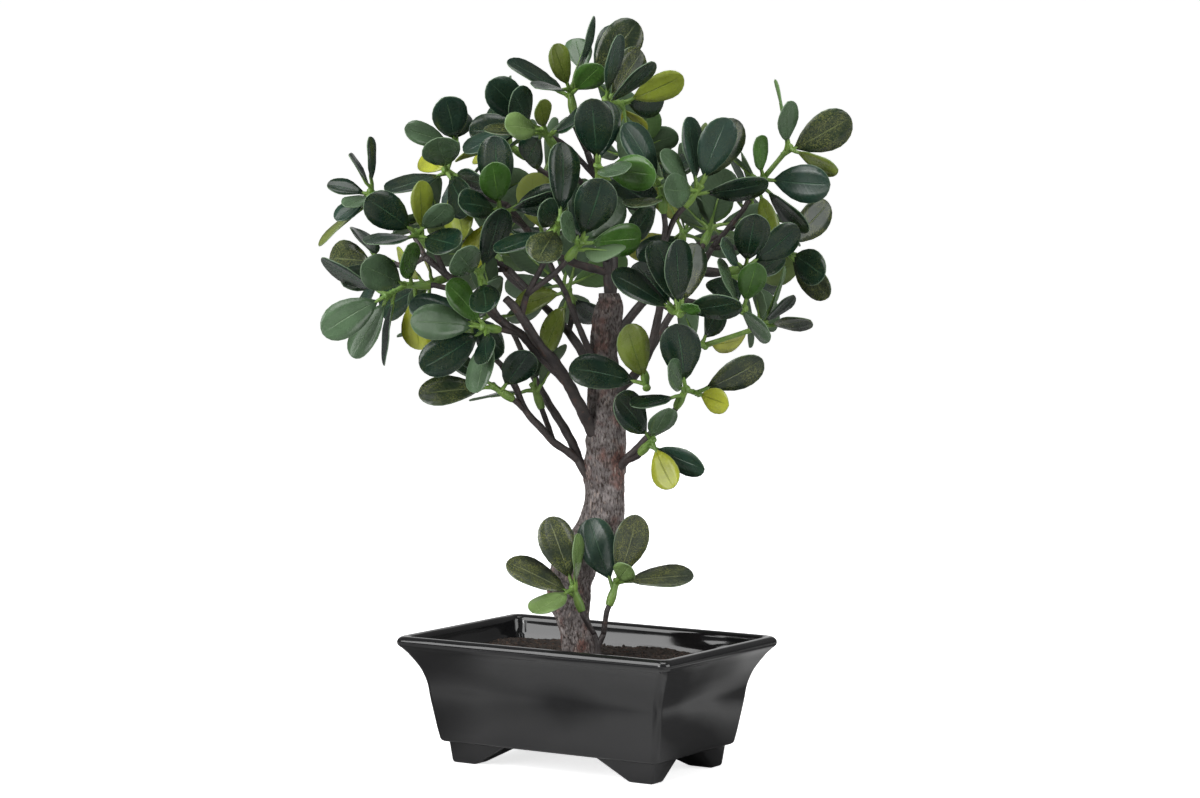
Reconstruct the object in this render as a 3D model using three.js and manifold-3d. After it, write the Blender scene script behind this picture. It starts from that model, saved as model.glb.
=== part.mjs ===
import * as THREE from "three";
import { mergeVertices } from "three/addons/utils/BufferGeometryUtils.js";
import Module from "manifold-3d";

// A ficus bonsai with plastic foliage in a footed black pot. Millimetres, +Z up.
// The pot's long side lies along X. The tree has its own axes, turned about Z from the pot's:
// x to the right of its front, y away from its front, z up from the surface the feet stand on.
const TREE_TURN = THREE.MathUtils.degToRad(33);
const GAP = 0.35;
const SAME_POINT = 1e-3;

// The pot: outer lengths and widths are measured between the centres of the rolled rim's beads.
const RIM_LENGTH = 170;
const RIM_WIDTH = 111.6;
const RIM_HEIGHT = 67.6;
const RIM_RADIUS = 3.4;
const RIM_CORNER = 5;
const WALL = 3.6;
const BODY_BOTTOM = 12;
const FLOOR_TOP = 16;
const BOTTOM_CHAMFER = 1.7;
const FOOT_INSET = 18.1;
const FOOT_TAPER = 1.6;
const FOOT_CHAMFER = 1;
const FOOT_ROOT = 1;
const FOOT_GAP_LONG = { bottom: 100, top: 54 };
const FOOT_GAP_SHORT = { bottom: 50, top: 20 };
const CORNER_STEPS = 3;
const CORNER_TIGHTENS = 0.1;
const LEAST_CORNER = 2.5;
const BEAD_START = -60;
const BEAD_STEPS = 5;
const ON_FACE = 1;

// The wall leans in as it goes down: height under the rim's centre, then the inset from it.
const WALL_FLARE = [
  [5.9, 0.8],
  [11.4, 4.3],
  [16.4, 6.8],
  [23.4, 8.9],
  [32.5, 10.2],
  [54.2, 13.9],
];

// What fills the pot: a cast block that holds the trunk, and a layer of brown fibre over it.
const BLOCK_TOP = 48;
const SOIL_TOP = 59;
const SOIL_SWELL = 1.2;
const SOIL_WAVE = 9;
const SOIL_RINGS = 1;
const SOIL_RING_STEP = 22;

// The trunk's middle line and radius, from the cast block up to its sawn top.
const TRUNK = [
  { at: [-5, 3, 24], radius: 9 },
  { at: [-5, 1, 58], radius: 9.2 },
  { at: [-7, 0, 76], radius: 8.8 },
  { at: [-9, -1, 92], radius: 11.4 },
  { at: [-9, -1, 104], radius: 11.8 },
  { at: [-2, -1, 118], radius: 11.2 },
  { at: [7, 0, 133], radius: 11.6 },
  { at: [10, 0, 150], radius: 10.8 },
  { at: [10, 0, 168], radius: 11.2 },
  { at: [10, 0, 185], radius: 10.2 },
  { at: [10, 0, 200], radius: 9.2 },
  { at: [10, 0, 214], radius: 8.6 },
  { at: [9, 0, 228], radius: 7 },
  { at: [10, 0, 240], radius: 7.8 },
  { at: [12, 0, 251], radius: 7.4 },
  { at: [12, 0, 259], radius: 5.6 },
];
const TRUNK_SIDES = 10;
const BARK_RELIEF = 0.05;
const BARK_WAVES = [
  { round: 3, rise: 9 },
  { round: 5, rise: -6 },
];

// The branches: dark plastic over wire. A limb starts inside the trunk or inside another limb.
const LIMBS = {
  left_upper: {
    branch: "branch_left",
    radius: [3.7, 2.3],
    way: [[6, -3, 178], [2, -7, 186], [-3, -13, 197], [-10, -19, 211], [-18, -25, 224],
      [-25, -29, 232], [-36, -40, 250], [-43, -44, 258]],
  },
  left_lower: {
    branch: "branch_left",
    radius: [2.7, 1.7],
    way: [[-10, -19, 211], [-27, -25, 229], [-35, -28, 238], [-44, -33, 244], [-52, -36, 251],
      [-64, -40, 261], [-75, -42, 271], [-86, -40, 280]],
  },
  left_fork: {
    branch: "branch_left",
    radius: [1.9, 1.6],
    way: [[-35, -38, 248], [-32, -44, 260]],
  },
  low_left_back: {
    branch: "branch_low_left",
    radius: [2.9, 1.8],
    way: [[5, 0, 152], [-4, 0, 167], [-8, 3, 177], [-15, 6, 189], [-21, 9, 198], [-28, 14, 210],
      [-36, 24, 226]],
  },
  low_left_front: {
    branch: "branch_low_left",
    radius: [2.3, 1.7],
    way: [[-4, 0, 167], [-11, -3, 173], [-18, -5, 178], [-25, -7, 186], [-33, -8, 195],
      [-39, -10, 209], [-46, -10, 220]],
  },
  low_right: {
    branch: "branch_low_right",
    radius: [2.8, 1.9],
    way: [[13, -3, 158], [20, -7, 167], [30, -15, 178], [42, -26, 192]],
  },
  right_front: {
    branch: "branch_right",
    radius: [3, 1.7],
    way: [[11, -2, 201], [20, -5, 209], [26, -9, 215], [33, -16, 226], [37, -22, 240], [40, -29, 256],
      [41, -33, 266], [39, -37, 280]],
  },
  right_back: {
    branch: "branch_right",
    radius: [2.1, 1.6],
    way: [[33, -16, 226], [42, -12, 242], [51, -9, 256], [60, -7, 270], [68, -8, 284]],
  },
  leader: {
    branch: "branch_top",
    radius: [3, 1.7],
    way: [[12, 0, 248], [12, 0, 262], [11, 1, 277], [10, 2, 292], [8, 2, 308], [5, 0, 322], [0, -2, 336]],
  },
  front: {
    branch: "branch_top",
    radius: [2.2, 1.7],
    way: [[11, 1, 277], [10, -16, 287], [7, -32, 300]],
  },
  upper_left: {
    branch: "branch_top",
    radius: [2.3, 1.6],
    way: [[12, 0, 270], [-8, -3, 276], [-24, -7, 284], [-34, -10, 296], [-43, -12, 307]],
  },
  inner_left: {
    branch: "branch_inner_left",
    radius: [2, 1.5],
    way: [[6, -2, 219], [1, -5, 229], [-6, -3, 245], [-11, 0, 258]],
  },
  back_left: {
    branch: "branch_back_left",
    radius: [3, 1.7],
    way: [[7, 3, 206], [2, 12, 218], [-10, 25, 236], [-26, 40, 252], [-44, 52, 270]],
  },
  back_right: {
    branch: "branch_back_right",
    radius: [3, 1.7],
    way: [[12, 3, 222], [18, 13, 237], [32, 28, 254], [48, 42, 268], [62, 48, 284]],
  },
  back_top: {
    branch: "branch_back_top",
    radius: [2.6, 1.7],
    way: [[12, 3, 240], [14, 12, 256], [15, 26, 276], [12, 40, 296], [6, 46, 314]],
  },
  shoot_left: {
    branch: "shoot",
    radius: [2, 1.5],
    way: [[6, -22, 46], [6, -22, 67], [4, -22, 75]],
  },
  shoot_right: {
    branch: "shoot",
    radius: [2, 1.5],
    way: [[6, -22, 60], [6, -22, 67], [9, -22, 75]],
  },
};
const LIMB_SIDES = 5;
const ALONG_Y = 0.9;
const OFF_AXIS = 0.5;
const TWIG_SIDES = 3;
const TWIG_RADIUS = 1.5;
const TWIG_KINK = 2.2;
const TWIG_BEND = 0.45;

// A sprig is one green moulding: a sleeve pushed over a twig's end, and whorls of stalked leaves.
const SLEEVE_LENGTH = 13;
const SLEEVE_RADIUS = 2.5;
const SLEEVE_SHARE = 0.6;
const SLEEVE_STATIONS = [0, 0.35, 1];
const SLEEVE_RADII = [2, 2.6, 2.1];
const STEM_RADIUS = 1.6;
const STEM_RADII = [1.5, 2.1];
const HUB_END = 2.6;
const ROOT_SPREAD = 2.2;
const ROOT_HEIGHTS = 3;
const SLEEVE_SIDES = 4;
const ROOT_DEPTH = 1.2;

// Each sprig leaves a limb at one of its points. Each whorl has its middle, its leaves as seen
// from the tree's front, and a number of further leaves set round it by rule. A leaf has its
// clock angle (0 right, 90 up), its lean towards the front, the turn of its upper face away
// from the front, and its blade's length.
const SPRIGS = [
  { name: "sprig_top", limb: "leader", from: 6, whorls: [
    { at: [-9, -5, 369], more: 1, leaves: [[67, 0, 80, 35], [97, 30, 40, 24], [145, 3, 62, 33],
      [168, 56, 80, 25], [40, 52, 20, 26]] },
    { at: [1, 13, 377], more: 1, leaves: [[54, -29, 15, 31], [47, -1, 5, 34], [103, -39, 10, 25]] }] },
  { name: "sprig_top_right", limb: "leader", from: 5, whorls: [
    { at: [10, -28, 363], more: 0, leaves: [[74, 34, 68, 34], [60, -22, 30, 32], [38, 36, 70, 35]] },
    { at: [19, -10, 362], more: 1, leaves: [[21, 20, 35, 30], [0, -46, 20, 31],
      [305, -43, 20, 24]] }] },
  { name: "sprig_top_front", limb: "leader", from: 4, whorls: [
    { at: [-23, -30, 347], more: 2, leaves: [[169, 56, 30, 25], [93, 53, 43, 20],
      [37, -67, 80, 22], [238, -52, 20, 28]] }] },
  { name: "sprig_top_left", limb: "leader", from: 5, whorls: [
    { at: [-32, 2, 351], more: 2, leaves: [[131, 48, 8, 34], [102, 36, 38, 32], [181, 0, 15, 29],
      [208, 19, 62, 34]] }] },
  { name: "sprig_middle", limb: "front", from: 2, whorls: [
    { at: [6, -52, 328], more: 2, leaves: [[95, 34, 5, 34], [354, 42, 10, 31], [329, -25, 20, 32]] }] },
  { name: "sprig_upper_right", limb: "right_front", from: 7, whorls: [
    { at: [40, -46, 316], more: 3, leaves: [[117, 16, 45, 34], [242, -50, 30, 28]] }] },
  { name: "sprig_high_right", limb: "right_front", from: 7, whorls: [
    { at: [60, -38, 317], more: 0, leaves: [[67, 20, 15, 34], [93, 13, 57, 33], [101, 33, 50, 26],
      [73, -5, 25, 35], [166, 56, 10, 29], [5, 5, 48, 33]] }] },
  { name: "sprig_far_right", limb: "right_back", from: 4, whorls: [
    { at: [95, -12, 321], more: 1, leaves: [[355, 36, 10, 34], [326, 4, 60, 30], [282, 33, 50, 29],
      [95, 46, 55, 24]] },
    { at: [109, -14, 338], more: 0, leaves: [[95, -26, 85, 34], [86, 41, 45, 26], [28, 7, 10, 34],
      [322, 38, 62, 27]] }] },
  { name: "sprig_right_edge", limb: "right_back", from: 4, whorls: [
    { at: [110, -4, 282], more: 0, leaves: [[321, 61, 20, 31], [310, 37, 35, 28],
      [43, -15, 15, 32], [199, 53, 58, 30], [42, -63, 120, 23]] }] },
  { name: "sprig_right", limb: "right_back", from: 3, whorls: [
    { at: [85, -34, 274], more: 2, leaves: [[81, 49, 8, 34], [102, 57, 65, 24]] }] },
  { name: "sprig_right_inner", limb: "right_back", from: 2, whorls: [
    { at: [84, -32, 252], more: 0, leaves: [[100, 43, 5, 26], [102, 39, 75, 29], [315, 51, 60, 26],
      [148, -42, 30, 30]] }] },
  { name: "sprig_right_front", limb: "right_front", from: 5, whorls: [
    { at: [49, -62, 251], more: 1, leaves: [[89, 25, 46, 35], [7, 39, 48, 33], [145, 23, 50, 35],
      [113, -13, 30, 35], [10, 67, 40, 17], [128, -26, 20, 31]] }] },
  { name: "sprig_trunk_right", limb: "low_right", from: 3, whorls: [
    { at: [53, -40, 209], more: 0, leaves: [[99, 32, 0, 34], [111, 52, 60, 28], [167, 35, 70, 26],
      [115, -43, 35, 31]] },
    { at: [59, -34, 207], more: 0, leaves: [[26, 21, 28, 34], [342, 55, 10, 22]] }] },
  { name: "sprig_trunk_front", limb: "right_front", from: 3, whorls: [
    { at: [32, -42, 211], more: 0, leaves: [[105, 27, 25, 31], [166, 2, 25, 35]] }] },
  { name: "sprig_low_right", limb: "low_right", from: 1, whorls: [
    { at: [35, -30, 181], more: 0, leaves: [[116, 40, 35, 32], [84, 42, 35, 26], [335, 34, 42, 30],
      [302, 31, 20, 25]] }] },
  { name: "sprig_right_low", limb: "right_back", from: 1, whorls: [
    { at: [64, 8, 230], more: 1, leaves: [[1, -44, 40, 27], [57, -44, 30, 30]] },
    { at: [97, 4, 241], more: 1, leaves: [[4, 46, 60, 26], [93, 40, 120, 26], [63, 25, 62, 22]] }] },
  { name: "sprig_far_left", limb: "left_lower", from: 7, whorls: [
    { at: [-117, 0, 314], more: 0, leaves: [[86, 17, 76, 24], [106, 33, 84, 22], [163, 6, 50, 20],
      [208, 37, 42, 21], [197, 62, 58, 22], [216, 4, 78, 34]] }] },
  { name: "sprig_left", limb: "left_lower", from: 6, whorls: [
    { at: [-90, -50, 293], more: 1, leaves: [[142, 45, 5, 34], [164, 45, 76, 30], [95, 25, 50, 26],
      [61, 39, 35, 26]] }] },
  { name: "sprig_upper_left", limb: "upper_left", from: 4, whorls: [
    { at: [-75, -28, 326], more: 1, leaves: [[99, 69, 5, 33], [191, 34, 65, 33], [341, 61, 50, 31],
      [297, 52, 40, 31], [151, -49, 10, 24]] },
    { at: [-71, 0, 340], more: 0, leaves: [[160, 28, 30, 24], [98, 51, 15, 31], [88, -37, 20, 30],
      [62, -44, 25, 30]] }] },
  { name: "sprig_front_left", limb: "upper_left", from: 3, whorls: [
    { at: [-46, -46, 305], more: 3, leaves: [[95, 48, 15, 28], [170, 32, 40, 31], [17, 33, 75, 28]] }] },
  { name: "sprig_left_inner", limb: "left_lower", from: 3, whorls: [
    { at: [-57, -54, 272], more: 2, leaves: [[127, 71, 5, 32], [76, 26, 45, 34]] }] },
  { name: "sprig_fork_left", limb: "left_fork", from: 1, whorls: [
    { at: [-14, -64, 299], more: 2, leaves: [[85, 2, 42, 35], [121, 69, 30, 27], [194, 33, 66, 32]] }] },
  { name: "sprig_fork_right", limb: "left_fork", from: 1, whorls: [
    { at: [-3, -66, 288], more: 2, leaves: [[71, 36, 4, 35], [96, 60, 62, 26], [353, 44, 125, 28],
      [2, -28, 20, 31], [27, -15, 20, 31]] }] },
  { name: "sprig_left_edge", limb: "left_lower", from: 7, whorls: [
    { at: [-113, -4, 276], more: 0, leaves: [[177, -39, 5, 33], [209, 56, 25, 28],
      [217, 24, 65, 26], [130, -46, 62, 27]] }] },
  { name: "sprig_left_low", limb: "left_lower", from: 5, whorls: [
    { at: [-96, -40, 265], more: 0, leaves: [[150, 58, 5, 34], [99, 45, 60, 28], [272, -3, 20, 28]] },
    { at: [-106, -44, 260], more: 1, leaves: [[210, 28, 8, 35], [235, 2, 45, 33], [240, -9, 76, 34]] }] },
  { name: "sprig_left_front", limb: "left_lower", from: 2, whorls: [
    { at: [-55, -48, 243], more: 1, leaves: [[173, 28, 15, 34], [125, 36, 48, 30], [210, 8, 8, 35],
      [159, 3, 35, 34], [269, 61, 45, 24]] }] },
  { name: "sprig_low_left", limb: "low_left_front", from: 4, whorls: [
    { at: [-50, -18, 209], more: 0, leaves: [[182, 6, 40, 34], [155, 24, 64, 31], [53, 44, 18, 29]] }] },
  { name: "sprig_low_inner", limb: "low_left_front", from: 2, whorls: [
    { at: [-29, 2, 208], more: 2, leaves: [[78, 47, 40, 24]] }] },
  { name: "sprig_left_behind", limb: "low_left_front", from: 6, whorls: [
    { at: [-65, -6, 246], more: 4, leaves: [[316, 48, 30, 30]] }] },
  { name: "sprig_low_behind", limb: "low_left_back", from: 6, whorls: [
    { at: [-52, 42, 246], more: 5, leaves: [] }] },
  { name: "sprig_inner_left", limb: "inner_left", from: 3, whorls: [
    { at: [-24, 12, 288], more: 5, leaves: [] }] },
  { name: "sprig_inner_low", limb: "inner_left", from: 2, whorls: [
    { at: [-10, 20, 259], more: 1, leaves: [[216, -36, 40, 30], [298, -54, 30, 31],
      [250, -46, 45, 29]] }] },
  { name: "sprig_inner_right", limb: "right_back", from: 2, whorls: [
    { at: [68, 18, 294], more: 5, leaves: [] }] },
  { name: "sprig_back_1", limb: "back_left", from: 4, whorls: [
    { at: [-82, 46, 300], more: 6, leaves: [] }] },
  { name: "sprig_back_2", limb: "back_left", from: 3, whorls: [
    { at: [-54, 84, 280], more: 6, leaves: [] }] },
  { name: "sprig_back_3", limb: "back_left", from: 4, whorls: [
    { at: [-90, 44, 262], more: 5, leaves: [] }] },
  { name: "sprig_back_4", limb: "back_left", from: 2, whorls: [
    { at: [-14, 74, 260], more: 5, leaves: [] }] },
  { name: "sprig_back_5", limb: "back_right", from: 4, whorls: [
    { at: [92, 47, 304], more: 6, leaves: [] }] },
  { name: "sprig_back_6", limb: "back_right", from: 3, whorls: [
    { at: [92, 56, 264], more: 5, leaves: [] }] },
  { name: "sprig_back_7", limb: "back_right", from: 3, whorls: [
    { at: [54, 74, 290], more: 6, leaves: [[210, 48, 20, 33]] }] },
  { name: "sprig_back_8", limb: "back_top", from: 4, whorls: [
    { at: [22, 72, 334], more: 7, leaves: [] }] },
  { name: "sprig_back_9", limb: "back_top", from: 4, whorls: [
    { at: [-26, 68, 322], more: 6, leaves: [] }] },
  { name: "sprig_back_10", limb: "back_top", from: 4, whorls: [
    { at: [48, 44, 320], more: 6, leaves: [] }] },
  { name: "sprig_back_11", limb: "back_top", from: 4, whorls: [
    { at: [-44, 40, 340], more: 6, leaves: [] }] },
  { name: "sprig_base_left", limb: "shoot_left", from: 2, whorls: [
    { at: [-7, -25, 100], more: 0, leaves: [[108, 2, 15, 34], [84, 22, 74, 28], [150, 1, 50, 35],
      [197, 50, 62, 28]] }] },
  { name: "sprig_base_right", limb: "shoot_right", from: 2, whorls: [
    { at: [16, -22, 103], more: 0, leaves: [[10, 2, -64, 35], [72, 15, 22, 35], [110, -4, -12, 34],
      [60, 66, -10, 22]] }] },
];

// A leaf: the stalk, then the blade's stations as parts of its length with their half widths
// as parts of the widest, and the keel's depth in millimetres under the flat upper face.
const STALK = 7;
const STALK_HALF = 0.75;
const LEAF_SLIMNESS = 0.32;
const LEAF_DROOP = 0.1;
const STATIONS = [
  { along: 0, half: 0.09, keel: 1.5 },
  { along: 0.28, half: 0.74, keel: 1.4 },
  { along: 0.62, half: 1, keel: 1.3 },
  { along: 0.9, half: 0.66, keel: 1 },
  { along: 1, half: 0, keel: 0 },
];

// Room that a leaf keeps to its neighbours, and the small turns tried until it has that room.
const LEAF_ROOM = 1.7;
const ROD_ROOM = 1.1;
const LEAN_TRIES = [0, 9, -9, 18, -18, 27, -27];
const CLOCK_TRIES = [0, 8, -8, 16, -16, 24, -24];
const SIZE_TRIES = [1, 0.88];
const SAMPLE_ROWS = 10;
const SAMPLE_COLUMNS = [-1, -0.5, 0, 0.5, 1];
const HALF_KEEL = 0.6;
const ROD_STEP = 2.5;
const GOLDEN_ANGLE = THREE.MathUtils.degToRad(137.5);
const LEAST_OPENING = 42;
const OPENING_RANGE = 40;
const LEAST_LEAF = 27;
const LEAF_RANGE = 7;
const RANDOM_SEED = 20417;
const RANDOM_FACTOR = 16807;
const RANDOM_RANGE = 2147483647;

const POT_BLACK = new THREE.MeshStandardMaterial({ color: 0x26272a, roughness: 0.18 });
const BLOCK_GREY = new THREE.MeshStandardMaterial({ color: 0x9a958c, roughness: 0.95 });
const SOIL_BROWN = new THREE.MeshStandardMaterial({ color: 0x4a3a30, roughness: 1 });
const BARK_BROWN = new THREE.MeshStandardMaterial({ color: 0x5f5049, roughness: 0.9 });
const BRANCH_BROWN = new THREE.MeshStandardMaterial({ color: 0x3c3032, roughness: 0.6 });
const LEAF_GREEN = new THREE.MeshStandardMaterial({ color: 0x2c4a34, roughness: 0.4 });

const wasm = await Module();
wasm.setup();

let randomState = RANDOM_SEED;
// The next number from 0 to 1 of a fixed sequence.
function nextRandom() {
  randomState = (randomState * RANDOM_FACTOR) % RANDOM_RANGE;
  return randomState / RANDOM_RANGE;
}

const vector = (list) => new THREE.Vector3(...list);

// A closed three.js geometry as a solid that can be joined and cut.
function solidFrom(geometry) {
  const bare = geometry.clone();
  bare.deleteAttribute("normal");
  bare.deleteAttribute("uv");
  const merged = mergeVertices(bare, SAME_POINT);
  return new wasm.Manifold(
    new wasm.Mesh({
      numProp: 3,
      vertProperties: Float32Array.from(merged.attributes.position.array),
      triVerts: Uint32Array.from(merged.index.array),
    }),
  );
}

// A named mesh of a solid in its material.
function meshFrom(name, solid, material) {
  const { vertProperties, triVerts } = solid.getMesh();
  const geometry = new THREE.BufferGeometry();
  geometry.setAttribute("position", new THREE.BufferAttribute(vertProperties, 3));
  geometry.setIndex(new THREE.BufferAttribute(triVerts, 1));
  geometry.computeVertexNormals();
  const mesh = new THREE.Mesh(geometry, material);
  mesh.name = name;
  return mesh;
}

// Moves every vertex of a geometry to what the rule makes of it.
function reshape(geometry, rule) {
  const position = geometry.attributes.position;
  const vertex = new THREE.Vector3();
  for (let i = 0; i < position.count; i += 1) {
    vertex.fromBufferAttribute(position, i);
    const moved = rule(vertex);
    position.setXYZ(i, moved.x, moved.y, moved.z);
  }
  return geometry;
}

// Which of a unit cylinder's or cone's rings a vertex belongs to, counted from the bottom.
function ringOf(vertex, last) {
  return Math.round((vertex.y + 0.5) * last);
}

// A tube with one ring at each point: a cylinder bent along the points. The relief, where
// given, scales the radius by the angle round the tube and the height.
function tube(points, radii, sides, relief = () => 1) {
  const last = points.length - 1;
  const frames = [];
  let side = new THREE.Vector3(0, 1, 0);
  points.forEach((point, i) => {
    const before = points[Math.max(i - 1, 0)];
    const after = points[Math.min(i + 1, last)];
    const along = after.clone().sub(before).normalize();
    if (i === 0 && Math.abs(along.y) > ALONG_Y) side.set(1, 0, 0);
    side = side.clone().addScaledVector(along, -side.dot(along)).normalize();
    frames.push({ side, up: side.clone().cross(along) });
  });
  const geometry = new THREE.CylinderGeometry(1, 1, 1, sides, last);
  return reshape(geometry, (v) => {
    const ring = ringOf(v, last);
    const { side: across, up } = frames[ring];
    const swell = Math.hypot(v.x, v.z) > OFF_AXIS ? relief(Math.atan2(v.x, v.z), points[ring].z) : 1;
    return points[ring]
      .clone()
      .addScaledVector(across, v.x * radii[ring] * swell)
      .addScaledVector(up, v.z * radii[ring] * swell);
  });
}

// Evenly changing radii for a limb of so many points.
function taper([thick, thin], count) {
  return Array.from({ length: count }, (_, i) => thick + ((thin - thick) * i) / (count - 1));
}

// The pot

// A point of a rectangle with rounded corners, for one of the steps round its outline.
function roundedRectangle(step, steps, halfLength, halfWidth, corner) {
  const perCorner = steps / 4;
  const quarter = Math.floor(step / perCorner);
  const angle = ((quarter + (step % perCorner) / (perCorner - 1)) * Math.PI) / 2;
  const signX = quarter === 0 || quarter === 3 ? 1 : -1;
  const signY = quarter < 2 ? 1 : -1;
  return [
    signX * (halfLength - corner) + corner * Math.cos(angle),
    signY * (halfWidth - corner) + corner * Math.sin(angle),
  ];
}

// A closed shape of rounded rectangular rings, each given by its inset from the rim's centre
// line and its height: a lathe shape pressed square. A ring without an inset is the middle.
function pressed(profile) {
  const steps = 4 * (CORNER_STEPS + 1);
  const points = profile.map(([inset, z]) => new THREE.Vector2(inset === null ? 0 : 1, z));
  const geometry = new THREE.LatheGeometry(points, steps);
  const position = geometry.attributes.position;
  for (let i = 0; i < position.count; i += 1) {
    const [inset, z] = profile[i % profile.length];
    const step = Math.floor(i / profile.length) % steps;
    const corner = Math.max(RIM_CORNER - CORNER_TIGHTENS * inset, LEAST_CORNER);
    const [x, y] =
      inset === null
        ? [0, 0]
        : roundedRectangle(step, steps, RIM_LENGTH / 2 - inset, RIM_WIDTH / 2 - inset, corner);
    position.setXYZ(i, x, y, z);
  }
  return geometry;
}

// A bar with a trapezium section, to cut the gap between two feet.
function footGap({ bottom, top }, length, alongX) {
  const outline = new THREE.Shape([
    new THREE.Vector2(-bottom / 2, 0),
    new THREE.Vector2(-bottom / 2, -FOOT_ROOT),
    new THREE.Vector2(bottom / 2, -FOOT_ROOT),
    new THREE.Vector2(bottom / 2, 0),
    new THREE.Vector2(top / 2, BODY_BOTTOM),
    new THREE.Vector2(-top / 2, BODY_BOTTOM),
  ]);
  const bar = new THREE.ExtrudeGeometry(outline, { depth: length, bevelEnabled: false });
  bar.translate(0, 0, -length / 2).rotateX(Math.PI / 2);
  if (alongX) bar.rotateZ(Math.PI / 2);
  return solidFrom(bar);
}

// How far the outer wall lies inside the rim's centre line at a height.
function flareInset(z) {
  const drop = RIM_HEIGHT - z;
  const below = WALL_FLARE.findIndex(([least]) => least >= drop);
  if (below < 0) return WALL_FLARE[WALL_FLARE.length - 1][1];
  if (below === 0) return WALL_FLARE[0][1];
  const [dropAbove, insetAbove] = WALL_FLARE[below - 1];
  const [dropBelow, insetBelow] = WALL_FLARE[below];
  return THREE.MathUtils.mapLinear(drop, dropAbove, dropBelow, insetAbove, insetBelow);
}

function makePot() {
  const bead = Array.from({ length: BEAD_STEPS + 1 }, (_, i) => {
    const angle = THREE.MathUtils.degToRad(BEAD_START + ((180 - BEAD_START) * i) / BEAD_STEPS);
    return [-RIM_RADIUS * Math.cos(angle), RIM_HEIGHT + RIM_RADIUS * Math.sin(angle)];
  });
  const outer = WALL_FLARE.map(([drop, inset]) => [inset, RIM_HEIGHT - drop]).reverse();
  const inner = WALL_FLARE.map(([drop, inset]) => [inset + WALL, RIM_HEIGHT - drop]).slice(0, -1);
  const body = pressed([
    [null, BODY_BOTTOM],
    [outer[0][0] + BOTTOM_CHAMFER, BODY_BOTTOM],
    ...outer,
    ...bead,
    ...inner,
    [flareInset(FLOOR_TOP) + WALL, FLOOR_TOP + BOTTOM_CHAMFER],
    [flareInset(FLOOR_TOP) + WALL + BOTTOM_CHAMFER, FLOOR_TOP],
    [null, FLOOR_TOP],
  ]);
  const feet = pressed([
    [null, 0],
    [FOOT_INSET + FOOT_TAPER + FOOT_CHAMFER, 0],
    [FOOT_INSET + FOOT_TAPER, FOOT_CHAMFER],
    [FOOT_INSET, BODY_BOTTOM],
    [FOOT_INSET, BODY_BOTTOM + FOOT_ROOT],
    [null, BODY_BOTTOM + FOOT_ROOT],
  ]);
  return solidFrom(body).add(
    solidFrom(feet)
      .subtract(footGap(FOOT_GAP_LONG, RIM_WIDTH, false))
      .subtract(footGap(FOOT_GAP_SHORT, RIM_LENGTH, true)),
  );
}

// Rings that follow the inner wall, a gap inside it, from one height up to another.
function wallRings(bottom, top) {
  const between = WALL_FLARE.map(([drop]) => RIM_HEIGHT - drop).filter((z) => z > bottom && z < top);
  return [bottom, ...between.reverse(), top].map((z) => [flareInset(z) + WALL + GAP, z]);
}

// The cast block fills the lower half of the pot.
function makeBlock() {
  const bottom = FLOOR_TOP + GAP;
  const chamferTop = bottom + BOTTOM_CHAMFER + GAP;
  const sides = wallRings(chamferTop, BLOCK_TOP);
  const edge = sides[0][0] + BOTTOM_CHAMFER + GAP;
  return solidFrom(pressed([[null, bottom], [edge, bottom], ...sides, [null, BLOCK_TOP]]));
}

// The fibre layer lies on the block, with a gently uneven top.
function makeSoil() {
  const bottom = BLOCK_TOP + GAP;
  const sides = wallRings(bottom, SOIL_TOP);
  const edge = sides[sides.length - 1][0];
  const rings = Array.from({ length: SOIL_RINGS }, (_, i) => [
    edge + (i + 1) * SOIL_RING_STEP,
    SOIL_TOP,
  ]);
  const layer = pressed([[null, bottom], ...sides, ...rings, [null, SOIL_TOP]]);
  return solidFrom(
    reshape(layer, (v) => {
      const inside = v.z > SOIL_TOP - ON_FACE && Math.abs(v.y) < RIM_WIDTH / 2 - edge - ON_FACE;
      const swell = SOIL_SWELL * Math.sin(v.x / SOIL_WAVE) * Math.cos(v.y / SOIL_WAVE);
      return inside ? v.clone().setZ(v.z + swell) : v;
    }),
  );
}

// The trunk and the branches

function makeTrunk(grow) {
  const points = TRUNK.map(({ at }) => vector(at));
  points[0].z -= grow;
  const radii = TRUNK.map(({ radius }) => radius + grow);
  const bark = (angle, z) =>
    BARK_WAVES.reduce(
      (sum, { round, rise }) => sum + BARK_RELIEF * Math.sin(round * angle + z / rise),
      1,
    );
  return solidFrom(tube(points, radii, TRUNK_SIDES, bark));
}

function makeLimb({ way, radius }, grow) {
  const points = way.map(vector);
  const start = points[0].clone().sub(points[1]).setLength(grow);
  points[0].add(start);
  const radii = taper(radius, points.length).map((r) => r + grow);
  return solidFrom(tube(points, radii, LIMB_SIDES));
}

// Where a sprig's twig and sleeve lie: the twig starts in its limb, bends once, and ends just
// short of the sleeve, which runs on to the first whorl.
function layStem(sprig) {
  const start = vector(LIMBS[sprig.limb].way[sprig.from]);
  const hub = vector(sprig.whorls[0].at);
  const kink = new THREE.Vector3(nextRandom() - 0.5, nextRandom() - 0.5, nextRandom() - 0.5);
  const reach = hub.distanceTo(start);
  const sleeveLength = Math.min(SLEEVE_LENGTH, SLEEVE_SHARE * reach);
  const bend = start.clone().lerp(hub, TWIG_BEND);
  bend.addScaledVector(kink, (TWIG_KINK * reach) / SLEEVE_LENGTH);
  const out = hub.clone().sub(bend).normalize();
  const sleeve = hub.clone().addScaledVector(out, -sleeveLength);
  const end = sleeve.clone().addScaledVector(out, -GAP);
  return { twig: [start, bend, end], sleeve, out, sleeveLength };
}

// The leaves

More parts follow.
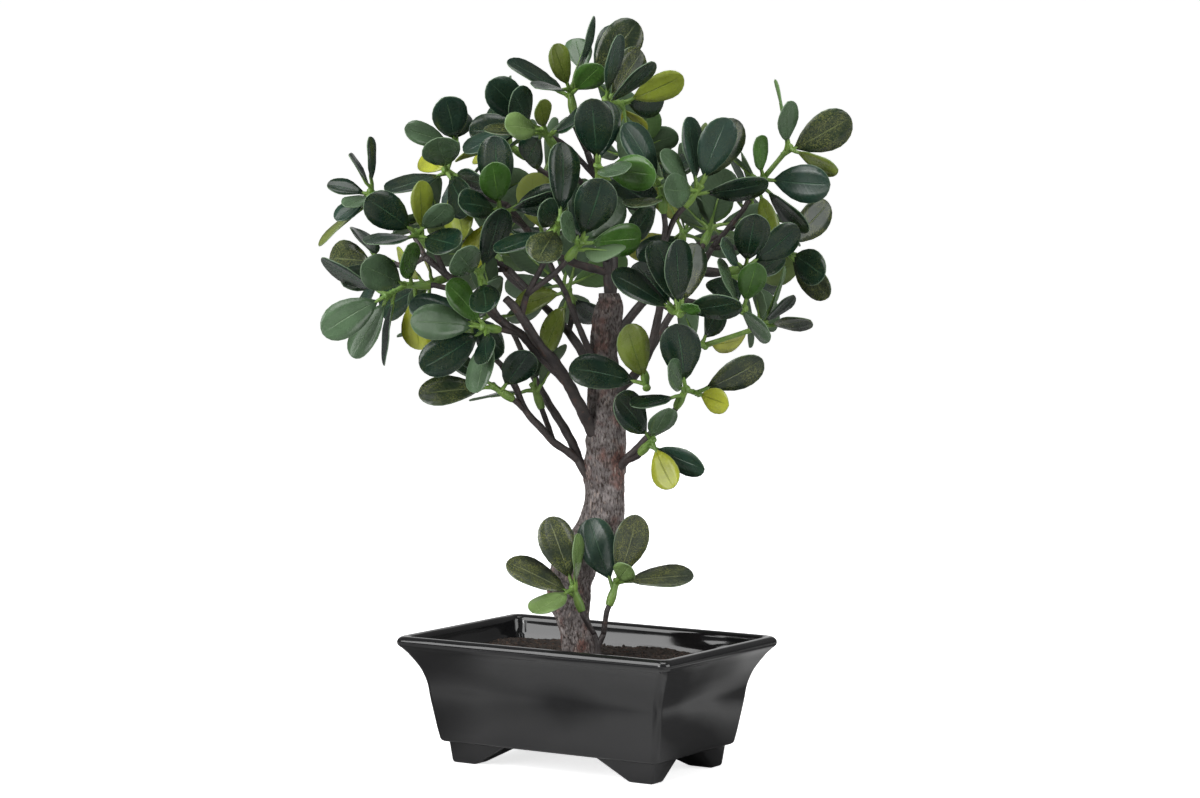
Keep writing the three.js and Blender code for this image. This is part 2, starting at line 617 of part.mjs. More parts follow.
// A leaf as the rule places it: its frame at the blade's base, and its size.
function poseLeaf(root, along, face, length) {
  const normal = face.clone().addScaledVector(along, -face.dot(along)).normalize();
  return {
    root,
    along,
    normal,
    side: normal.clone().cross(along),
    length,
    half: length * LEAF_SLIMNESS,
    base: root.clone().addScaledVector(along, STALK),
  };
}

// The blade's half width at a part of its length, as a part of the widest.
function halfAt(part) {
  const next = STATIONS.findIndex(({ along }) => along >= part);
  if (next <= 0) return STATIONS[0].half;
  const from = STATIONS[next - 1];
  const to = STATIONS[next];
  return from.half + ((to.half - from.half) * (part - from.along)) / (to.along - from.along);
}

// A point of the blade: a part of its length along, a part of its half width across, and a
// depth under its upper face, which droops towards the tip.
function bladePoint(leaf, part, across, depth) {
  return leaf.base
    .clone()
    .addScaledVector(leaf.along, part * leaf.length)
    .addScaledVector(leaf.side, across * halfAt(part) * leaf.half)
    .addScaledVector(leaf.normal, -LEAF_DROOP * leaf.length * part * part - depth);
}

// A leaf's closed solid: a three-sided cone whose rings are spread to the stations. Its rings
// run from the stalk's root, sunk in the stem, to the tip.
function makeLeaf(leaf) {
  const rings = STATIONS.length;
  const cone = new THREE.ConeGeometry(1, 1, 3, rings);
  return solidFrom(
    reshape(cone, (v) => {
      const ring = ringOf(v, rings);
      const spread = rings / Math.max(rings - ring, 1);
      const { along, keel } = STATIONS[Math.max(ring - 1, 0)];
      const depth = v.z * spread > OFF_AXIS ? keel : 0;
      const at = bladePoint(leaf, along, Math.round(v.x * spread), depth);
      return ring === 0 ? at.addScaledVector(leaf.along, ROOT_DEPTH - STALK) : at;
    }),
  );
}

// Points spread over a blade, to test its room with.
function bladeSamples(leaf) {
  const samples = [];
  for (let i = 1; i <= SAMPLE_ROWS; i += 1) {
    const part = i / SAMPLE_ROWS;
    for (const across of SAMPLE_COLUMNS) samples.push(bladePoint(leaf, part, across, HALF_KEEL));
  }
  return samples;
}

// Whether a point lies within so much room of a blade.
function nearBlade(leaf, point, room) {
  const offset = point.clone().sub(leaf.base);
  const part = offset.dot(leaf.along) / leaf.length;
  const edge = room / leaf.length;
  if (part < -edge || part > 1 + edge) return false;
  const inside = Math.min(Math.max(part, 0), 1);
  if (Math.abs(offset.dot(leaf.side)) > halfAt(inside) * leaf.half + room) return false;
  const height = offset.dot(leaf.normal) + LEAF_DROOP * leaf.length * inside * inside;
  return Math.abs(height + HALF_KEEL) < HALF_KEEL + room;
}

// A straight round bar, with points along it, that leaves keep clear of.
function makeRod(start, end, radius, owner) {
  const line = new THREE.Line3(start, end);
  const count = Math.ceil(start.distanceTo(end) / ROD_STEP);
  const samples = Array.from({ length: count + 1 }, (_, i) => line.at(i / count, new THREE.Vector3()));
  return { line, radius, owner, samples };
}

// Whether two posed leaves, or a leaf and a bar, keep their room.
function leavesClear(a, b) {
  if (a.middle.distanceTo(b.middle) > a.length + b.length) return true;
  return (
    !a.samples.some((point) => nearBlade(b, point, LEAF_ROOM)) &&
    !b.samples.some((point) => nearBlade(a, point, LEAF_ROOM))
  );
}

function rodClears(leaf, rod) {
  const nearest = new THREE.Vector3();
  rod.line.closestPointToPoint(leaf.middle, true, nearest);
  if (nearest.distanceTo(leaf.middle) > leaf.length) return true;
  const room = rod.radius + ROD_ROOM;
  return (
    !rod.samples.some((point) => nearBlade(leaf, point, room)) &&
    !leaf.samples.some((point) => {
      rod.line.closestPointToPoint(point, true, nearest);
      return nearest.distanceTo(point) < room;
    })
  );
}

// Whether the leaf's stalk keeps clear of other sprigs' leaves and of the bars it doesn't grow from.
function stalkClears(stalk, placed, rods) {
  const nearest = new THREE.Vector3();
  const room = STALK_HALF + ROD_ROOM;
  return (
    placed.every((leaf) => !stalk.samples.some((point) => nearBlade(leaf, point, room))) &&
    rods.every((rod) =>
      stalk.samples.every((point) => {
        rod.line.closestPointToPoint(point, true, nearest);
        return nearest.distanceTo(point) > rod.radius + room;
      }),
    )
  );
}

// Tries the wanted pose of a leaf, then small turns and a smaller size, until it has room.
function placeLeaf(owner, pose, placed, rods) {
  for (const size of SIZE_TRIES) {
    for (const lean of LEAN_TRIES) {
      for (const clock of CLOCK_TRIES) {
        const leaf = { ...pose(clock, lean, size), owner };
        leaf.samples = bladeSamples(leaf);
        leaf.middle = bladePoint(leaf, 0.5, 0, 0);
        const stalk = makeRod(leaf.root, leaf.base, STALK_HALF, owner);
        const others = rods.filter((rod) => rod.owner !== owner);
        const free =
          placed.every((other) => leavesClear(leaf, other)) &&
          rods.every((rod) => (rod.owner === owner && !rod.stalk) || rodClears(leaf, rod)) &&
          stalkClears(stalk, placed.filter((other) => other.owner !== owner), others);
        if (free) {
          placed.push(leaf);
          rods.push({ ...stalk, stalk: true });
          return;
        }
      }
    }
  }
}

// Where a whorl's leaf grows from its stem: at three heights in turn.
function rootOf(at, out, number) {
  return vector(at).addScaledVector(out, -ROOT_SPREAD * (number % ROOT_HEIGHTS));
}

// A leaf of the list, by its angles as seen from the front.
function listedPose(root, [clock, lean, turn, length]) {
  return (moreClock, moreLean, size) => {
    const angle = THREE.MathUtils.degToRad(clock + moreClock);
    const tilt = THREE.MathUtils.degToRad(lean + moreLean);
    const along = new THREE.Vector3(
      Math.cos(tilt) * Math.cos(angle),
      -Math.sin(tilt),
      Math.cos(tilt) * Math.sin(angle),
    );
    const face = new THREE.Vector3(0, -1, 0).addScaledVector(along, Math.sin(-tilt)).normalize();
    face.applyAxisAngle(along, THREE.MathUtils.degToRad(turn));
    return poseLeaf(root, along, face, length * size);
  };
}

// One of the further leaves of a whorl: they open round the stem's way, a golden angle apart,
// with their upper faces towards it.
function whorledPose(root, out, number, first, draw) {
  const across = new THREE.Vector3(0, 0, 1).cross(out).normalize();
  return (moreTurn, moreOpening, size) => {
    const turn = first + number * GOLDEN_ANGLE + THREE.MathUtils.degToRad(moreTurn);
    const opening = THREE.MathUtils.degToRad(
      LEAST_OPENING + OPENING_RANGE * draw.opening + moreOpening,
    );
    const radial = across.clone().applyAxisAngle(out, turn);
    const along = out
      .clone()
      .multiplyScalar(Math.cos(opening))
      .addScaledVector(radial, Math.sin(opening));
    const length = (LEAST_LEAF + LEAF_RANGE * draw.length) * size;
    return poseLeaf(root, along, out, length);
  };
}

// Places every leaf of the tree: first those of the list, then the further ones.
function placeLeaves(stems, rods) {
  const placed = [];
  SPRIGS.forEach((sprig) => {
    sprig.whorls.forEach(({ at, leaves }, level) => {
      const out = stems.get(sprig.name).ways[level];
      leaves.forEach((leaf, number) => {
        const pose = listedPose(rootOf(at, out, number), leaf);
        placeLeaf(sprig.name, pose, placed, rods);
      });
    });
  });
  SPRIGS.forEach((sprig) => {
    sprig.whorls.forEach(({ at, more, leaves }, level) => {
      const out = stems.get(sprig.name).ways[level];
      const first = 2 * Math.PI * nextRandom();
      for (let number = 0; number < more; number += 1) {
        const draw = { opening: nextRandom(), length: nextRandom() };
        const root = rootOf(at, out, leaves.length + number);
        placeLeaf(sprig.name, whorledPose(root, out, number, first, draw), placed, rods);
      }
    });
  });
  return placed;
}

// The tree

const stems = new Map(SPRIGS.map((sprig) => [sprig.name, layStem(sprig)]));

// The bars that leaves keep clear of: the trunk, the limbs, the twigs and the green stems.
function listRods() {
  const rods = [];
  TRUNK.slice(1).forEach(({ at, radius }, i) => {
    rods.push(makeRod(vector(TRUNK[i].at), vector(at), radius, "trunk"));
  });
  for (const { branch, way, radius } of Object.values(LIMBS)) {
    const radii = taper(radius, way.length);
    way.slice(1).forEach((point, i) => {
      rods.push(makeRod(vector(way[i]), vector(point), radii[i], branch));
    });
  }
  for (const sprig of SPRIGS) {
    const stem = stems.get(sprig.name);
    const [start, bend, end] = stem.twig;
    rods.push(makeRod(start, bend, TWIG_RADIUS, LIMBS[sprig.limb].branch));
    rods.push(makeRod(bend, end, TWIG_RADIUS, LIMBS[sprig.limb].branch));
    const hubs = sprig.whorls.map(({ at }) => vector(at));
    rods.push(makeRod(stem.sleeve, hubs[0], SLEEVE_RADIUS, sprig.name));
    hubs.slice(1).forEach((hub, i) => rods.push(makeRod(hubs[i], hub, STEM_RADIUS, sprig.name)));
    stem.ways = hubs.map((hub, i) => (i ? hub.clone().sub(hubs[i - 1]).normalize() : stem.out));
  }
  return rods;
}

function makeBranch(name) {
  const limbs = Object.values(LIMBS).filter(({ branch }) => branch === name);
  const twigs = SPRIGS.filter(({ limb }) => LIMBS[limb].branch === name).map((sprig) =>
    solidFrom(tube(stems.get(sprig.name).twig, [TWIG_RADIUS, TWIG_RADIUS, TWIG_RADIUS], TWIG_SIDES)),
  );
  return [...limbs.map((limb) => makeLimb(limb, 0)), ...twigs].reduce((a, b) => a.add(b));
}

function makeSprig(sprig, placed) {
  const { sleeve, out, sleeveLength, ways } = stems.get(sprig.name);
  const hubs = sprig.whorls.map(({ at }) => vector(at));
  const stations = SLEEVE_STATIONS.map((part) =>
    sleeve.clone().addScaledVector(out, part * (sleeveLength + HUB_END)),
  );
  const body = solidFrom(tube(stations, SLEEVE_RADII, SLEEVE_SIDES));
  const upper = hubs.slice(1).map((hub, i) => {
    const end = hub.clone().addScaledVector(ways[i + 1], HUB_END);
    return solidFrom(tube([hubs[i], end], STEM_RADII, SLEEVE_SIDES));
  });
  const leaves = placed.filter(({ owner }) => owner === sprig.name).map(makeLeaf);
  return [...upper, ...leaves].reduce((a, b) => a.add(b), body);
}

function build() {
  const group = new THREE.Group();
  const tree = new THREE.Group();
  tree.rotation.z = TREE_TURN;
  const rods = listRods();
  const placed = placeLeaves(stems, rods);
  const turned = (solid) => solid.rotate([0, 0, THREE.MathUtils.radToDeg(TREE_TURN)]);
  const branchNames = [...new Set(Object.values(LIMBS).map(({ branch }) => branch))];
  const standing = Object.values(LIMBS).filter(({ branch }) => branch.startsWith("shoot"));
  const holes = [makeTrunk(GAP), ...standing.map((limb) => makeLimb(limb, GAP))].map(turned);
  const dig = (solid) => holes.reduce((a, b) => a.subtract(b), solid);
  group.add(meshFrom("pot", makePot(), POT_BLACK));
  group.add(meshFrom("cast_block", dig(makeBlock()), BLOCK_GREY));
  group.add(meshFrom("soil", dig(makeSoil()), SOIL_BROWN));
  const sockets = Object.values(LIMBS).filter(({ branch }) => !branch.startsWith("shoot"));
  const trunk = sockets.reduce((solid, limb) => solid.subtract(makeLimb(limb, GAP)), makeTrunk(0));
  tree.add(meshFrom("trunk", trunk, BARK_BROWN));
  for (const name of branchNames) tree.add(meshFrom(name, makeBranch(name), BRANCH_BROWN));
  for (const sprig of SPRIGS) tree.add(meshFrom(sprig.name, makeSprig(sprig, placed), LEAF_GREEN));
  group.add(tree);
  const middle = new THREE.Box3().setFromObject(group, true).getCenter(new THREE.Vector3());
  group.position.set(-middle.x, -middle.y, 0);
  return group;
}

export default build();
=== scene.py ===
import itertools
import math

import bmesh
import bpy
import numpy as np
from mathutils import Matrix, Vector, noise


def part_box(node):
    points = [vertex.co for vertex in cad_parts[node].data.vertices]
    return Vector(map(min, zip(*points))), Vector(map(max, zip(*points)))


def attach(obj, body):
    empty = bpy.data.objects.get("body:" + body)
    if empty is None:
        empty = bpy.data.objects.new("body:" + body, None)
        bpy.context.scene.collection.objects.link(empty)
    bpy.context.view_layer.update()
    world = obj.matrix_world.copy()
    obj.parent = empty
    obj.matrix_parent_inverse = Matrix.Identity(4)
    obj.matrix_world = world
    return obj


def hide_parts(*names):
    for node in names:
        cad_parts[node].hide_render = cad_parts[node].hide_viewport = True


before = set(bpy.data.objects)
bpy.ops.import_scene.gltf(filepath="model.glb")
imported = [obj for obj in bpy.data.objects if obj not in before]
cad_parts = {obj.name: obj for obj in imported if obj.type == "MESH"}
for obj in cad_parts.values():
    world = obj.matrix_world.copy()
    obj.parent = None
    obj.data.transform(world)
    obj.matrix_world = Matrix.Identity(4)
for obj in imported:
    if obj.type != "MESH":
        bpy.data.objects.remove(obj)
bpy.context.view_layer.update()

# The pot
# One moulding in glossy black plastic: flared walls under a rolled rim, and four splayed feet.
# The mould gave it soft corners and slightly uneven faces, which show in what they reflect.
MM = 0.001
RIM_LENGTH = 170 * MM
RIM_WIDTH = 111.6 * MM
RIM_HEIGHT = 67.6 * MM
RIM_RADIUS = 3.4 * MM
RIM_CORNER = 5 * MM
CORNER_TIGHTENS = 0.1
LEAST_CORNER = 2.5 * MM
CORNER_STEPS = 8
WALL = 3.6 * MM
BODY_BOTTOM = 12 * MM
FLOOR_TOP = 16 * MM
EDGE_ROUND = 2.4 * MM
EDGE_ROUND_STEPS = 4
BEAD_FROM = math.radians(-60)
BEAD_STEPS = 14
FLARE_STEPS = 4
# The outer face, in millimetres: how far below the rim's middle line, and how far in from it.
WALL_FLARE = [(5.9, 0.8), (11.4, 4.3), (16.4, 6.8), (23.4, 8.9), (32.5, 10.2), (54.2, 13.9)]
FOOT_OUTSIDE = 18.1 * MM
FOOT_TAPER = 1.6 * MM
FOOT_SUNK = 1 * MM
# From the pot's middle to a foot's inner faces, at the ground and at the pot's bottom.
FOOT_GAP_LONG = (50 * MM, 27 * MM)
FOOT_GAP_SHORT = (25 * MM, 10 * MM)
FOOT_ROUND = 1.6 * MM
FOOT_ROUND_STEPS = 3
SHARP_ANGLE = math.radians(38)
# The plastic's colour, then a lighter one in patches, with the patches' scale per metre and where
# their mask begins and is full; these patches are partly painted reflection, partly faint clouding.
# The other finishes list their colours in the same way, and some add the patches' detail and stretch.
POT_COLOURS = [(18, 18, 19), ((28, 28, 29), 18, 0.35, 0.7)]
POT_ROUGHNESS = (0.06, 0.14)
POT_UNEVEN = 1.4 * MM

pot_low, pot_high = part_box("pot")
POT_MIDDLE = Vector(((pot_low.x + pot_high.x) / 2, (pot_low.y + pot_high.y) / 2, 0))


def smooth_line(points, steps):
    """A smooth line through the points, with so many steps between each two."""
    known = np.array(points, float)
    padded = np.vstack([2 * known[0] - known[1], known, 2 * known[-1] - known[-2]])
    line = []
    for before, start, end, after in zip(padded, padded[1:], padded[2:], padded[3:]):
        for t in np.arange(steps) / steps:
            pull = (end - before) * t + (2 * before - 5 * start + 4 * end - after) * t**2
            line.append(start + (pull + (3 * start - before - 3 * end + after) * t**3) / 2)
    return np.array(line + [known[-1]])


def new_skin():
    """An empty mesh whose vertices remember their step round a ring."""
    bm = bmesh.new()
    bm.verts.layers.int.new("step")
    return bm


def draw_out(bm, rings, steps, place, material=0):
    """Draws a closed skin out of a circle, ring by ring. place puts one step of one ring."""
    step = bm.verts.layers.int["step"]
    ring = bmesh.ops.create_circle(bm, cap_ends=True, segments=steps, radius=1)["verts"]
    faces = set(ring[0].link_faces)
    for number, vert in enumerate(ring):
        vert[step] = number
        vert.co = place(number, 0)
    edges = list(dict.fromkeys(edge for vert in ring for edge in vert.link_edges))
    for index in range(1, rings):
        grown = bmesh.ops.extrude_edge_only(bm, edges=edges)["geom"]
        ring = {item for item in grown if isinstance(item, bmesh.types.BMVert)}
        faces |= {item for item in grown if isinstance(item, bmesh.types.BMFace)}
        edges = [
            item for item in grown
            if isinstance(item, bmesh.types.BMEdge) and ring.issuperset(item.verts)
        ]
        for vert in ring:
            vert.co = place(vert[step], index)
    faces |= set(bmesh.ops.contextual_create(bm, geom=edges)["faces"])
    for face in faces:
        face.material_index = material
    bmesh.ops.recalc_face_normals(bm, faces=list(faces))


def keep_piece(name, bm, materials, nodes, sharp_angle=None):
    """Makes the mesh a piece of the object, in place of the CAD nodes that it stands for."""
    mesh = bpy.data.meshes.new(name)
    bm.to_mesh(mesh)
    bm.free()
    mesh.shade_smooth()
    if sharp_angle is not None:
        mesh.set_sharp_from_angle(angle=sharp_angle)
    for material in materials:
        mesh.materials.append(material)
    piece = bpy.data.objects.new(name, mesh)
    bpy.context.scene.collection.objects.link(piece)
    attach(piece, "root")
    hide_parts(*nodes)
    return piece


def paint(red, green, blue):
    """A colour as a shader wants it, from its screen values of 0 to 255."""
    return (*[((c / 255 + 0.055) / 1.055) ** 2.4 if c > 10 else c / 3294 for c in (red, green, blue)], 1)


def put(tree, kind, sockets=None, **settings):
    """Adds a node with its settings, and fills or links its input sockets."""
    node = tree.nodes.new("ShaderNode" + kind)
    for name, value in settings.items():
        setattr(node, name, value)
    for name, value in (sockets or {}).items():
        if isinstance(value, bpy.types.NodeSocket):
            tree.links.new(value, node.inputs[name])
        else:
            node.inputs[name].default_value = value
    return node


def reckon(tree, operation, *values):
    """A sum of a Math node."""
    return put(tree, "Math", dict(enumerate(values)), operation=operation).outputs[0]


def ramp(tree, value, low, high, start=0.0, end=1.0):
    """The value brought from one range to another, and held there."""
    sockets = {"Value": value, "From Min": low, "From Max": high, "To Min": start, "To Max": end}
    return put(tree, "MapRange", sockets).outputs[0]


def mingle(tree, factor, first, second):
    """A colour between two, by a factor."""
    sockets = {0: factor, 6: first, 7: second}
    return put(tree, "Mix", sockets, data_type="RGBA", clamp_factor=True).outputs[2]


def make_patches_group():
    """Irregular patches on the piece itself: a mask of stretched noise between two limits."""
    group = bpy.data.node_groups.new("patches", "ShaderNodeTree")
    floats = {"Scale": 100.0, "Detail": 3.0, "Low": 0.4, "High": 0.6}
    for name, value in floats.items():
        socket = group.interface.new_socket(name, in_out="INPUT", socket_type="NodeSocketFloat")
        socket.default_value = value
    socket = group.interface.new_socket("Stretch", in_out="INPUT", socket_type="NodeSocketVector")
    socket.default_value = (1, 1, 1)
    group.interface.new_socket("Mask", in_out="OUTPUT", socket_type="NodeSocketFloat")
    given = group.nodes.new("NodeGroupInput").outputs
    place = put(group, "TexCoord").outputs["Object"]
    stretched = put(group, "VectorMath", {0: place, 1: given["Stretch"]}, operation="MULTIPLY")
    sockets = {"Vector": stretched.outputs[0], "Scale": given["Scale"], "Detail": given["Detail"]}
    cloud = put(group, "TexNoise", sockets).outputs["Fac"]
    mask = ramp(group, cloud, given["Low"], given["High"])
    group.links.new(mask, group.nodes.new("NodeGroupOutput").inputs["Mask"])
    return group


PATCHES = make_patches_group()


def patches(tree, scale, low, high, detail=3.0, stretch=(1, 1, 1)):
    """The mask of the patches group, at a scale per metre."""
    sockets = {"Scale": scale, "Low": low, "High": high, "Detail": detail, "Stretch": stretch}
    node = tree.nodes.new("ShaderNodeGroup")
    node.node_tree = PATCHES
    for name, value in sockets.items():
        node.inputs[name].default_value = value
    return node.outputs["Mask"]


def patched(tree, colour, *layers):
    """A colour with others over it in patches. Each layer is a colour and its mask's values."""
    tone = paint(*colour)
    for over, *mask in layers:
        tone = mingle(tree, patches(tree, *mask), tone, paint(*over))
    return tone


def new_finish(name):
    """A new material, its node tree and its shader."""
    finish = bpy.data.materials.new(name)
    finish.use_nodes = True
    return finish, finish.node_tree, finish.node_tree.nodes["Principled BSDF"]


def cover(tree, shader, tone, dull, roughness):
    """Gives the shader its colour, and a roughness between two limits by the mask of what is dull."""
    tree.links.new(tone, shader.inputs["Base Color"])
    tree.links.new(ramp(tree, dull, 0, 1, *roughness), shader.inputs["Roughness"])


def raise_surface(tree, shader, height, distance):
    """Gives the shader a bump of the height, over a distance in metres."""
    bump = put(tree, "Bump", {"Height": height, "Distance": distance, "Strength": 1.0})
    tree.links.new(bump.outputs[0], shader.inputs["Normal"])


def black_gloss():
    """Black moulded plastic: a deep gloss with soft waves, and lighter patches that are painted reflection
    as well as faint clouding.
    """
    finish, tree, shader = new_finish("black_gloss")
    dull = patches(tree, 14, 0.42, 0.62, 1.0)
    cover(tree, shader, patched(tree, *POT_COLOURS), dull, POT_ROUGHNESS)
    raise_surface(tree, shader, patches(tree, 20, 0.1, 0.9, 1.0), POT_UNEVEN)
    return finish


def rim_point(step, inset, height):
    """One step of a rounded rectangle, by its inset from the middle line of the rim."""
    corner = max(RIM_CORNER - CORNER_TIGHTENS * inset, LEAST_CORNER)
    quarter, part = divmod(step, CORNER_STEPS + 1)
    angle = (quarter + part / CORNER_STEPS) * math.pi / 2
    sign_x = 1 if quarter in (0, 3) else -1
    sign_y = 1 if quarter < 2 else -1
    x = sign_x * (RIM_LENGTH / 2 - inset - corner) + corner * math.cos(angle)
    y = sign_y * (RIM_WIDTH / 2 - inset - corner) + corner * math.sin(angle)
    return POT_MIDDLE + Vector((x, y, height))


def pot_profile():
    """The wall's insets and heights: up the outside, round the bead, and down the inside."""
    flare = smooth_line(WALL_FLARE, FLARE_STEPS) * MM
    foot_inset = flare[-1][1]
    outside = [(inset, RIM_HEIGHT - drop) for drop, inset in flare[::-1]]
    turn = [math.pi / 2 * i / EDGE_ROUND_STEPS for i in range(EDGE_ROUND_STEPS)]
    lower = [
        (foot_inset + EDGE_ROUND * (1 - math.sin(a)), BODY_BOTTOM + EDGE_ROUND * (1 - math.cos(a)))
        for a in turn
    ]
    bead = []
    for i in range(BEAD_STEPS + 1):
        angle = BEAD_FROM + (math.pi - BEAD_FROM) * i / BEAD_STEPS
        bead.append((-RIM_RADIUS * math.cos(angle), RIM_HEIGHT + RIM_RADIUS * math.sin(angle)))
    inside = [(inset + WALL, height) for inset, height in outside[::-1] if height > FLOOR_TOP + EDGE_ROUND]
    floor_inset = inside[-1][0]
    inner = [
        (floor_inset + EDGE_ROUND * (1 - math.cos(a)), FLOOR_TOP + EDGE_ROUND * (1 - math.sin(a)))
        for a in turn
    ]
    return lower + [p for p in outside if p[1] > BODY_BOTTOM + EDGE_ROUND] + bead + inside + inner


def add_foot(bm, sign_x, sign_y):
    """One splayed foot, with its top sunk in the pot's bottom."""
    cube = bmesh.ops.create_cube(bm, size=1)["verts"]
    for vert in cube:
        high = vert.co.z > 0
        taper = 0 if high else FOOT_TAPER
        outer_x = RIM_LENGTH / 2 - FOOT_OUTSIDE - taper
        outer_y = RIM_WIDTH / 2 - FOOT_OUTSIDE - taper
        x = outer_x if vert.co.x > 0 else FOOT_GAP_LONG[high]
        y = outer_y if vert.co.y > 0 else FOOT_GAP_SHORT[high]
        height = BODY_BOTTOM + FOOT_SUNK if high else 0
        vert.co = POT_MIDDLE + Vector((sign_x * x, sign_y * y, height))
    bmesh.ops.recalc_face_normals(bm, faces=list({face for vert in cube for face in vert.link_faces}))
    edges = dict.fromkeys(edge for vert in cube for edge in vert.link_edges)
    rounded = [edge for edge in edges if min(v.co.z for v in edge.verts) < BODY_BOTTOM]
    bmesh.ops.bevel(
        bm, geom=rounded, offset=FOOT_ROUND, offset_type="OFFSET", segments=FOOT_ROUND_STEPS,
        profile=0.5, affect="EDGES", clamp_overlap=True, material=-1,
    )


profile = pot_profile()
pot = new_skin()
draw_out(pot, len(profile), 4 * (CORNER_STEPS + 1), lambda step, ring: rim_point(step, *profile[ring]))
for sign_x in (-1, 1):
    for sign_y in (-1, 1):
        add_foot(pot, sign_x, sign_y)
bmesh.ops.recalc_face_normals(pot, faces=pot.faces)
keep_piece("pot_moulding", pot, [black_gloss()], ["pot"], SHARP_ANGLE)

# The cast block
# Grey mortar poured into the pot, which weights it and holds the foot of the trunk.
# The fibre hides it, so the model's own solid stays and only gets its finish.
MORTAR_COLOURS = [(150, 146, 138), ((172, 168, 160), 60, 0.3, 0.7), ((110, 106, 100), 350, 0.62, 0.68)]
MORTAR_ROUGHNESS = (0.85, 0.98)
MORTAR_GRAIN = 0.4 * MM


def cast_mortar():
    """Grey mortar with sandy grain and small pores."""
    finish, tree, shader = new_finish("cast_mortar")
    grain = patches(tree, 900, 0.3, 0.7, 6.0)
    cover(tree, shader, patched(tree, *MORTAR_COLOURS), grain, MORTAR_ROUGHNESS)
    raise_surface(tree, shader, grain, MORTAR_GRAIN)
    return finish


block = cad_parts["cast_block"]
block.data.materials.clear()
block.data.materials.append(cast_mortar())
for polygon in block.data.polygons:
    polygon.material_index = 0

# The soil
# A layer of brown coconut fibre pressed over the block, with loose crumbs and short strands.
# It fills the pot from wall to wall, round the trunk, and has settled in low waves.
SOIL_TOP = 59 * MM
SOIL_DEPTH = 4 * MM
SOIL_DRAWN_IN = 3 * MM
SOIL_SWELL = 1.2 * MM
SOIL_WAVE = 9 * MM
SOIL_GRAIN = 0.9 * MM
SOIL_GRAIN_SCALE = 420
SOIL_GRAIN_LAYERS = 4
SOIL_COLUMNS = 150
SOIL_ROWS = 92
SOIL_INTO_WALL = 0.4 * MM
CRUMBS = 620
CRUMB_SIZE = (0.35 * MM, 1.0 * MM)
CRUMB_SQUASH = (0.6, 1.4)
STRANDS = 260
STRAND_LENGTH = (3 * MM, 9 * MM)
STRAND_RADIUS = 0.17 * MM
STRAND_SIDES = 3
STRAND_RINGS = 5
STRAND_CURL = 1.2
STRAND_LIFT = 0.35 * MM
SOIL_SEED = 611
NEARLY_ALONG = 0.9
FIBRE_COLOURS = [
    (38, 32, 28), ((58, 49, 42), 120, 0.35, 0.65), ((82, 61, 48), 500, 0.54, 0.64, 5.0),
    ((30, 24, 20), 1100, 0.55, 0.62, 4.0),
]
FIBRE_ROUGHNESS = (0.88, 1.0)
FIBRE_GRAIN = 0.5 * MM


def soil_height(x, y):
    """The fibre's height at a place, measured from the pot's middle."""
    swell = SOIL_SWELL * math.sin(x / SOIL_WAVE) * math.cos(y / SOIL_WAVE)
    grain = noise.fractal(Vector((x, y, 0)) * SOIL_GRAIN_SCALE, 1.0, 2.0, SOIL_GRAIN_LAYERS)
    return SOIL_TOP + swell + SOIL_GRAIN * grain


def soil_reach():
    """Half the length and half the width of the soil, a little way into the wall."""
    low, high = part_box("soil")
    return (high.x - low.x) / 2 + SOIL_INTO_WALL, (high.y - low.y) / 2 + SOIL_INTO_WALL


def lay_soil(bm):
    """The layer: a fine sheet with its edge drawn down and closed underneath."""
    half_length, half_width = soil_reach()
    sheet = bmesh.ops.create_grid(bm, x_segments=SOIL_COLUMNS, y_segments=SOIL_ROWS, size=1)["verts"]
    for vert in sheet:
        x = vert.co.x * half_length
        y = vert.co.y * half_width
        vert.co = POT_MIDDLE + Vector((x, y, soil_height(x, y)))
    border = [edge for edge in bm.edges if edge.is_boundary]
    drawn = bmesh.ops.extrude_edge_only(bm, edges=border)["geom"]
    lower = {item for item in drawn if isinstance(item, bmesh.types.BMVert)}
    for vert in lower:
        x, y, _ = vert.co - POT_MIDDLE
        x *= 1 - SOIL_DRAWN_IN / half_length
        y *= 1 - SOIL_DRAWN_IN / half_width
        vert.co = POT_MIDDLE + Vector((x, y, SOIL_TOP - SOIL_DEPTH))
    rim = [
        item for item in drawn
        if isinstance(item, bmesh.types.BMEdge) and lower.issuperset(item.verts)
    ]
    closing = bmesh.ops.contextual_create(bm, geom=rim)["faces"]
    own = {face for vert in sheet for face in vert.link_faces} | set(closing)
    bmesh.ops.recalc_face_normals(bm, faces=list(own))


def scatter_crumbs(bm, draw):
    """Loose crumbs of fibre, half sunk in the layer."""
    half_length, half_width = soil_reach()
    margin = WALL
    for _ in range(CRUMBS):
        x = draw.uniform(margin - half_length, half_length - margin)
        y = draw.uniform(margin - half_width, half_width - margin)
        size = draw.uniform(*CRUMB_SIZE)
        crumb = bmesh.ops.create_icosphere(bm, subdivisions=1, radius=size)["verts"]
        squash = Vector(draw.uniform(*CRUMB_SQUASH, 3))
        middle = POT_MIDDLE + Vector((x, y, soil_height(x, y)))
        for vert in crumb:
            vert.co = middle + vert.co * squash


def strand_points(draw):
    """A short strand that lies over the layer and lifts a little in its middle."""
    half_length, half_width = soil_reach()
    length = draw.uniform(*STRAND_LENGTH)
    margin = length + WALL
    x = draw.uniform(margin - half_length, half_length - margin)
    y = draw.uniform(margin - half_width, half_width - margin)
    heading = draw.uniform(0, 2 * math.pi)
    curl = draw.uniform(-STRAND_CURL, STRAND_CURL)
    points = []
    for i in range(STRAND_RINGS):
        lift = STRAND_LIFT * math.sin(math.pi * i / (STRAND_RINGS - 1))
        points.append(POT_MIDDLE + Vector((x, y, soil_height(x, y) + lift)))
        heading += curl / STRAND_RINGS
        x += length / STRAND_RINGS * math.cos(heading)
        y += length / STRAND_RINGS * math.sin(heading)
    return points


